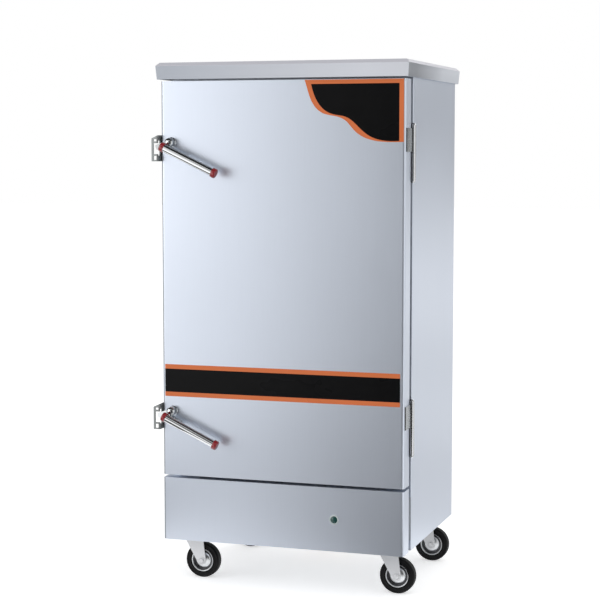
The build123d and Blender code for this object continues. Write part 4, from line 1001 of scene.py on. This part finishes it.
@dataclass
class EasedSheets:
    """The pieces whose shape is right and whose edges are eased, as a folded or sawn edge really is.

    Each piece has the width of its eased edge, in millimetres. A tilt is a share of a face's normal.
    """

    finishes: FinishBook
    widths: tuple[tuple[str, float], ...] = (
        ("latch_keepers", 0.5), ("latch_bases", 0.5), ("hinge_door_leaves", 0.5),
        ("hinge_frame_leaves", 0.5), ("caster_plates", 0.6), ("caster_bolts", 0.5), ("corner_panel", 0.2),
        ("band_panel", 0.2), ("panel_trim", 0.15), ("top_cover", 0.5), ("fascia_panel", 0.4),
        ("door_outer_shell", 0.4), ("drain_lever", 0.6), ("drain_valve", 0.5), ("float_valve", 0.4),
        ("cable_gland", 0.5), ("contactor", 0.6), ("terminal_block", 0.6), ("steam_vent", 0.5),
        ("door_gasket", 1.2), ("door_inner_pan", 0.6), ("rack_runners", 0.4), ("rack_posts", 0.4),
        ("heating_elements", 0.4))
    own_finish: dict[str, str] = field(default_factory=lambda: {
        "top_cover": "cover_sheet", "latch_keepers": "keeper_nickel", "hinge_door_leaves": "hinge_steel",
        "hinge_frame_leaves": "hinge_steel"})
    fold_tilt: tuple[float, float] = (0.15, 0.97)
    face_tilt: float = 0.7
    barrel_nodes: tuple[str, ...] = ("hinge_door_leaves", "hinge_frame_leaves")
    barrel_radius: float = 8.2 * MM
    bent_nodes: tuple[str, ...] = ("door_outer_shell", "fascia_panel")
    bend_tilt: float = 0.02
    bend_reach: float = 6 * MM

    def build(self) -> None:
        """Copies and eases each piece, and marks the faces that have a finish of their own, some of which are
        painted light and shade.
        """
        record = frame["record"]
        slots = {row["node"]: row["material_slot"] for row in record["subparts"]}
        groups = record["behaviour"]["bodies"]
        bodies = {node: body for body, nodes in groups.items() for node in nodes}
        for node, width in self.widths:
            piece = eased(node, width * MM)
            if node in self.own_finish:
                self.finishes.dress_extra(piece, self.own_finish[node])
            if node == "top_cover":
                self.paint_cover_light_and_shade(piece)
            if node in self.barrel_nodes:
                self.mark_barrels(piece)
            if node in self.bent_nodes:
                self.paint_bend_shade(piece)
            fit_piece(piece, bodies[node], slots[node], self.finishes, node)

    def paint_cover_light_and_shade(self, cover: bpy.types.Object) -> None:
        """Paints light and shade on the cover: a painted highlight on its rounded top edges, and painted light and
        shade gradients on its front and its sides.

        Args:
            cover: the eased cover.
        """
        for name in ("cover_fold", "cover_front", "cover_side"):
            cover.data.materials.append(self.finishes.extra(name))
        # painted light and shade: fold faces get the painted highlight, front and side faces the painted gradients
        for face in cover.data.polygons:
            if self.fold_tilt[0] < face.normal.z < self.fold_tilt[1]:
                face.material_index = 1
            elif face.normal.y < -self.face_tilt:
                face.material_index = 2
            elif abs(face.normal.x) > self.face_tilt:
                face.material_index = 3

    def paint_bend_shade(self, panel: bpy.types.Object) -> None:
        """Paints shade on the bend along a panel's left edge with a greyer, darker finish.

        Args:
            panel: the eased door skin or fascia.
        """
        panel.data.materials.append(self.finishes.extra("bend_steel"))
        left = min(vertex.co.x for vertex in panel.data.vertices)
        # painted shade: the bend's faces near the left edge get the darker finish
        for face in panel.data.polygons:
            bent = face.normal.x < -self.bend_tilt and face.normal.y < -self.bend_tilt
            if bent and face.center.x < left + self.bend_reach:
                face.material_index = 1

    def mark_barrels(self, leaves: bpy.types.Object) -> None:
        """Gives the hinges' turned barrels their own brighter finish.

        Args:
            leaves: the eased hinge halves.
        """
        leaves.data.materials.append(self.finishes.extra("barrel_steel"))
        axis = Vector(joint("door_swing")["pos_m"]).xy
        for face in leaves.data.polygons:
            if (face.center.xy - axis).length < self.barrel_radius:
                face.material_index = 1


@dataclass(frozen=True)
class Softbox:
    """A large area lamp that looks at the object's middle."""

    name: str
    place: Triple
    size: tuple[float, float]
    power: float
    aim: Triple = (0.0, 0.0, 0.8)
    mirrored: bool = True

    def build(self) -> None:
        """Adds the lamp, which the camera itself doesn't see."""
        data = bpy.data.lights.new(self.name, "AREA")
        data.shape = "RECTANGLE"
        data.size, data.size_y = self.size
        data.energy = self.power
        lamp = bpy.data.objects.new(self.name, data)
        lamp.location = self.place
        aim = Vector(self.aim) - Vector(self.place)
        lamp.rotation_euler = aim.to_track_quat("-Z", "Y").to_euler()
        lamp.visible_camera = False
        lamp.visible_glossy = self.mirrored
        bpy.context.scene.collection.objects.link(lamp)


@dataclass(frozen=True)
class GreyFlag:
    """A grey card that the metal mirrors, as a photographer shades a steel front.

    It fades in along its own length, so that it has no hard edge in the sheet. The fade runs between two
    places on the axis that the card lies along, in metres.
    """

    name: str
    corner: Triple
    along: Triple
    across: Triple
    level: float
    fade: tuple[float, float]
    strength: float = 1.0

    def build(self) -> None:
        """Adds the card, which only mirrored rays see."""
        bpy.ops.mesh.primitive_plane_add(size=1.0)
        card = bpy.context.object
        card.name = self.name
        corner, along, across = Vector(self.corner), Vector(self.along), Vector(self.across)
        corners = [corner, corner + along, corner + across, corner + along + across]
        for vertex, place in zip(card.data.vertices, corners):
            vertex.co = place
        card.data.materials.append(self.material(along.normalized()))
        card.visible_camera = False
        card.visible_diffuse = False
        card.visible_shadow = False
        card.visible_transmission = False

    def material(self, heading: Vector) -> bpy.types.Material:
        """Builds the card's grey, clear before the fade and full after it.

        Args:
            heading: the way that the card lies.

        Returns:
            The material.
        """
        material = bpy.data.materials.new(self.name)
        material.use_nodes = True
        nodes, links = material.node_tree.nodes, material.node_tree.links
        nodes.clear()
        place = nodes.new("ShaderNodeTexCoord")
        distance = nodes.new("ShaderNodeVectorMath")
        distance.operation = "DOT_PRODUCT"
        distance.inputs[1].default_value = heading
        links.new(place.outputs["Object"], distance.inputs[0])
        ramp = nodes.new("ShaderNodeMapRange")
        ramp.interpolation_type = "SMOOTHSTEP"
        ramp.inputs["From Min"].default_value = self.fade[0]
        ramp.inputs["From Max"].default_value = self.fade[1]
        ramp.inputs["To Max"].default_value = self.strength
        links.new(distance.outputs["Value"], ramp.inputs["Value"])
        clear = nodes.new("ShaderNodeBsdfTransparent")
        grey = nodes.new("ShaderNodeEmission")
        grey.inputs["Color"].default_value = (self.level, self.level, self.level, 1.0)
        both = nodes.new("ShaderNodeMixShader")
        links.new(ramp.outputs["Result"], both.inputs["Fac"])
        links.new(clear.outputs["BSDF"], both.inputs[1])
        links.new(grey.outputs["Emission"], both.inputs[2])
        out = nodes.new("ShaderNodeOutputMaterial")
        links.new(both.outputs["Shader"], out.inputs["Surface"])
        return material


@dataclass
class Studio:
    """The floor, the white surroundings, the cards, the lamps and the camera."""

    camera_target: Triple = (0.0833, -0.3385, 0.8204)
    camera_distance: float = 4.5
    camera_azimuth: float = 18.295
    camera_elevation: float = 5.093
    camera_lens: float = 100.9
    sensor_width: float = 36.0
    floor_reach: float = 60.0
    floor_colour: Colour = (0.86, 0.865, 0.87)
    floor_roughness: float = 0.9
    speckle_scale: Triple = (30.0, 30.0, 30.0)
    speckle_shade: float = 0.985
    floor_lift: float = 0.5
    day_level: float = 0.72

    def build(self) -> None:
        """Adds everything that isn't part of the object."""
        self.floor()
        self.surroundings()
        for thing in [*self.lamps(), *self.flags()]:
            thing.build()
        self.camera()
        bpy.context.scene.view_settings.view_transform = "Standard"

    def lamps(self) -> list[Softbox]:
        """Lists the softboxes: a key at the upper left of the front, a weak fill, and one behind.

        Returns:
            The softboxes.
        """
        return [
            Softbox("key_softbox", (-3.6, -3.0, 1.8), (3.2, 2.8), 46.0),
            Softbox("fill_softbox", (3.4, -2.2, 2.0), (2.2, 2.2), 14.0, mirrored=False),
            Softbox("back_softbox", (1.6, 3.6, 2.6), (2.4, 1.6), 24.0)]

    def flags(self) -> list[GreyFlag]:
        """Lists the cards: before the door and its fascia, above, at the left, behind and at the right.

        Returns:
            The cards.
        """
        up = (0.0, 0.0, 3.2)
        return [
            GreyFlag(
                "front_flag", corner=(-2.2, -3.6, 0.0), along=(5.3, 0.0, 0.0), across=(0.0, 0.0, 3.4),
                level=0.35, fade=(-1.9, 0.6)),
            GreyFlag(
                "near_flag", corner=(-1.2, -3.5, 0.0), along=(4.3, 0.0, 0.0), across=(0.0, 0.0, 3.4),
                level=0.02, fade=(-1.15, -0.65), strength=0.82),
            GreyFlag(
                "close_flag", corner=(-0.5, -1.5, 0.0), along=(2.6, 0.0, 0.0), across=(0.0, 0.0, 3.0),
                level=0.05, fade=(-0.35, 0.1), strength=0.4),
            GreyFlag(
                "floor_flag", corner=(-1.0, -0.3, 0.003), along=(4.7, -1.75, 0.0), across=(-1.1, -2.9, 0.0),
                level=0.05, fade=(-0.45, 0.6)),
            GreyFlag(
                "fascia_card", corner=(-0.2, -0.95, 0.004), along=(1.3, 0.0, 0.0), across=(0.0, 0.58, 0.0),
                level=0.05, fade=(-0.2, 0.35)),
            GreyFlag(
                "latch_card", corner=(-2.4, -1.9, 0.005), along=(0.0, 1.55, 0.0), across=(1.75, 0.0, 0.0),
                level=0.05, fade=(-1.85, -1.55), strength=0.95),
            GreyFlag(
                "ceiling_flag", corner=(-3.0, -2.6, 3.0), along=(0.0, 4.1, 0.0), across=(6.0, 0.0, 0.0),
                level=0.02, fade=(-2.6, -1.9)),
            GreyFlag(
                "left_flag", corner=(-2.6, -1.3, 0.0), along=(0.0, 5.0, 0.0), across=(0.0, 0.0, 3.0),
                level=0.3, fade=(-1.3, -0.9)),
            GreyFlag(
                "rear_floor_flag", corner=(0.36, 0.3, 0.003), along=(0.0, 6.0, 0.0), across=(3.6, 0.0, 0.0),
                level=0.6, fade=(0.3, 0.7), strength=0.7),
            GreyFlag(
                "back_floor_card", corner=(0.3, 0.4, 0.003), along=(-3.9, 0.0, 0.0), across=(0.0, 3.4, 0.0),
                level=0.4, fade=(-0.3, 0.6), strength=0.8),
            GreyFlag(
                "back_flag", corner=(0.2, 3.9, 0.0), along=(-3.8, 0.0, 0.0), across=up,
                level=0.4, fade=(-0.2, 0.7), strength=0.8),
            GreyFlag(
                "right_flag", corner=(3.6, -2.4, 0.0), along=(0.0, 4.8, 0.0), across=up,
                level=0.4, fade=(-1.2, 1.0), strength=0.8),
            GreyFlag(
                "right_floor_card", corner=(0.7, -2.0, 0.003), along=(0.0, 4.0, 0.0), across=(2.9, 0.0, 0.0),
                level=0.45, fade=(-0.8, 0.7), strength=0.8),
            GreyFlag(
                "rear_veil", corner=(0.2, 4.1, 0.0), along=up, across=(3.4, 0.0, 0.0),
                level=0.7, fade=(-0.2, -0.1), strength=0.5),
            GreyFlag(
                "rear_flag", corner=(0.2, 4.0, 0.4), along=(0.0, 0.0, 3.0), across=(3.4, 0.0, 0.0),
                level=0.25, fade=(0.45, 1.5), strength=0.9)]

    def floor(self) -> None:
        """Adds the pale floor, which looks white and keeps the object's shadow."""
        bpy.ops.mesh.primitive_plane_add(size=self.floor_reach)
        plane = bpy.context.object
        plane.name = "studio_floor"
        sheet = NodeSheet("pale_floor", self.floor_colour, 0.0, self.floor_roughness)
        sheet.set("Specular IOR Level", 0.0)
        speckle = sheet.noise(self.speckle_scale)
        darker = tuple(c * self.speckle_shade for c in self.floor_colour)
        sheet.feed(sheet.blend(sheet.spread(speckle, 0.0, 1.0), darker, self.floor_colour), "Base Color")
        sheet.set("Emission Color", (1.0, 1.0, 1.0, 1.0))
        lift = sheet.nodes.new("ShaderNodeMath")
        lift.operation = "MULTIPLY"
        lift.inputs[1].default_value = self.floor_lift
        sheet.links.new(self.backdrop_rays(sheet.nodes, sheet.links), lift.inputs[0])
        sheet.feed(lift.outputs["Value"], "Emission Strength")
        plane.data.materials.append(sheet.material)

    def backdrop_rays(self, nodes: bpy.types.Nodes, links: bpy.types.NodeLinks) -> bpy.types.NodeSocket:
        """Adds a value of 1 for the rays that show the backdrop: the camera's, mirrored and clear ones.

        Args:
            nodes: where the nodes are added.
            links: where they are joined.

        Returns:
            The value, 0 for every other ray.
        """
        path = nodes.new("ShaderNodeLightPath")
        value = path.outputs["Is Camera Ray"]
        for other in ("Is Glossy Ray", "Is Transmission Ray"):
            more = nodes.new("ShaderNodeMath")
            more.operation = "MAXIMUM"
            links.new(value, more.inputs[0])
            links.new(path.outputs[other], more.inputs[1])
            value = more.outputs["Value"]
        return value

    def surroundings(self) -> None:
        """Sets the world: white as a backdrop, and a plain soft level as light."""
        world = bpy.data.worlds.new("studio_world")
        bpy.context.scene.world = world
        world.use_nodes = True
        nodes, links = world.node_tree.nodes, world.node_tree.links
        nodes.clear()
        out = nodes.new("ShaderNodeOutputWorld")
        light = nodes.new("ShaderNodeBackground")
        light.inputs["Strength"].default_value = self.day_level
        white = nodes.new("ShaderNodeBackground")
        for shader in (light, white):
            shader.inputs["Color"].default_value = (1.0, 1.0, 1.0, 1.0)
        both = nodes.new("ShaderNodeMixShader")
        links.new(self.backdrop_rays(nodes, links), both.inputs["Fac"])
        links.new(light.outputs["Background"], both.inputs[1])
        links.new(white.outputs["Background"], both.inputs[2])
        links.new(both.outputs["Shader"], out.inputs["Surface"])

    def camera(self) -> None:
        """Adds the camera at the photograph's angle."""
        data = bpy.data.cameras.new("photo_camera")
        data.lens = self.camera_lens
        data.sensor_width = self.sensor_width
        camera = bpy.data.objects.new("photo_camera", data)
        turn, rise = math.radians(self.camera_azimuth), math.radians(self.camera_elevation)
        back = Vector((math.sin(turn) * math.cos(rise), -math.cos(turn) * math.cos(rise), math.sin(rise)))
        camera.location = Vector(self.camera_target) + back * self.camera_distance
        camera.rotation_euler = (math.pi / 2 - rise, 0.0, turn)
        bpy.context.scene.collection.objects.link(camera)
        bpy.context.scene.camera = camera


def main() -> None:
    """Builds and dresses everything in order."""
    logging.basicConfig(level=logging.INFO, format="%(message)s")
    bpy.ops.object.select_all(action="DESELECT")
    finishes = FinishBook()
    finishes.dress_frame()
    for prefix in ("front_left", "front_right", "rear_left", "rear_right"):
        Caster(prefix, finishes).build()
    for level in ("upper", "lower"):
        Latch(level, finishes).build()
    for thing in (
            KeeperScrews(finishes), BackScrews(finishes), PilotLamp(finishes), EasedSheets(finishes)):
        thing.build()
    Studio().build()


if __name__ == "__main__":
    main()
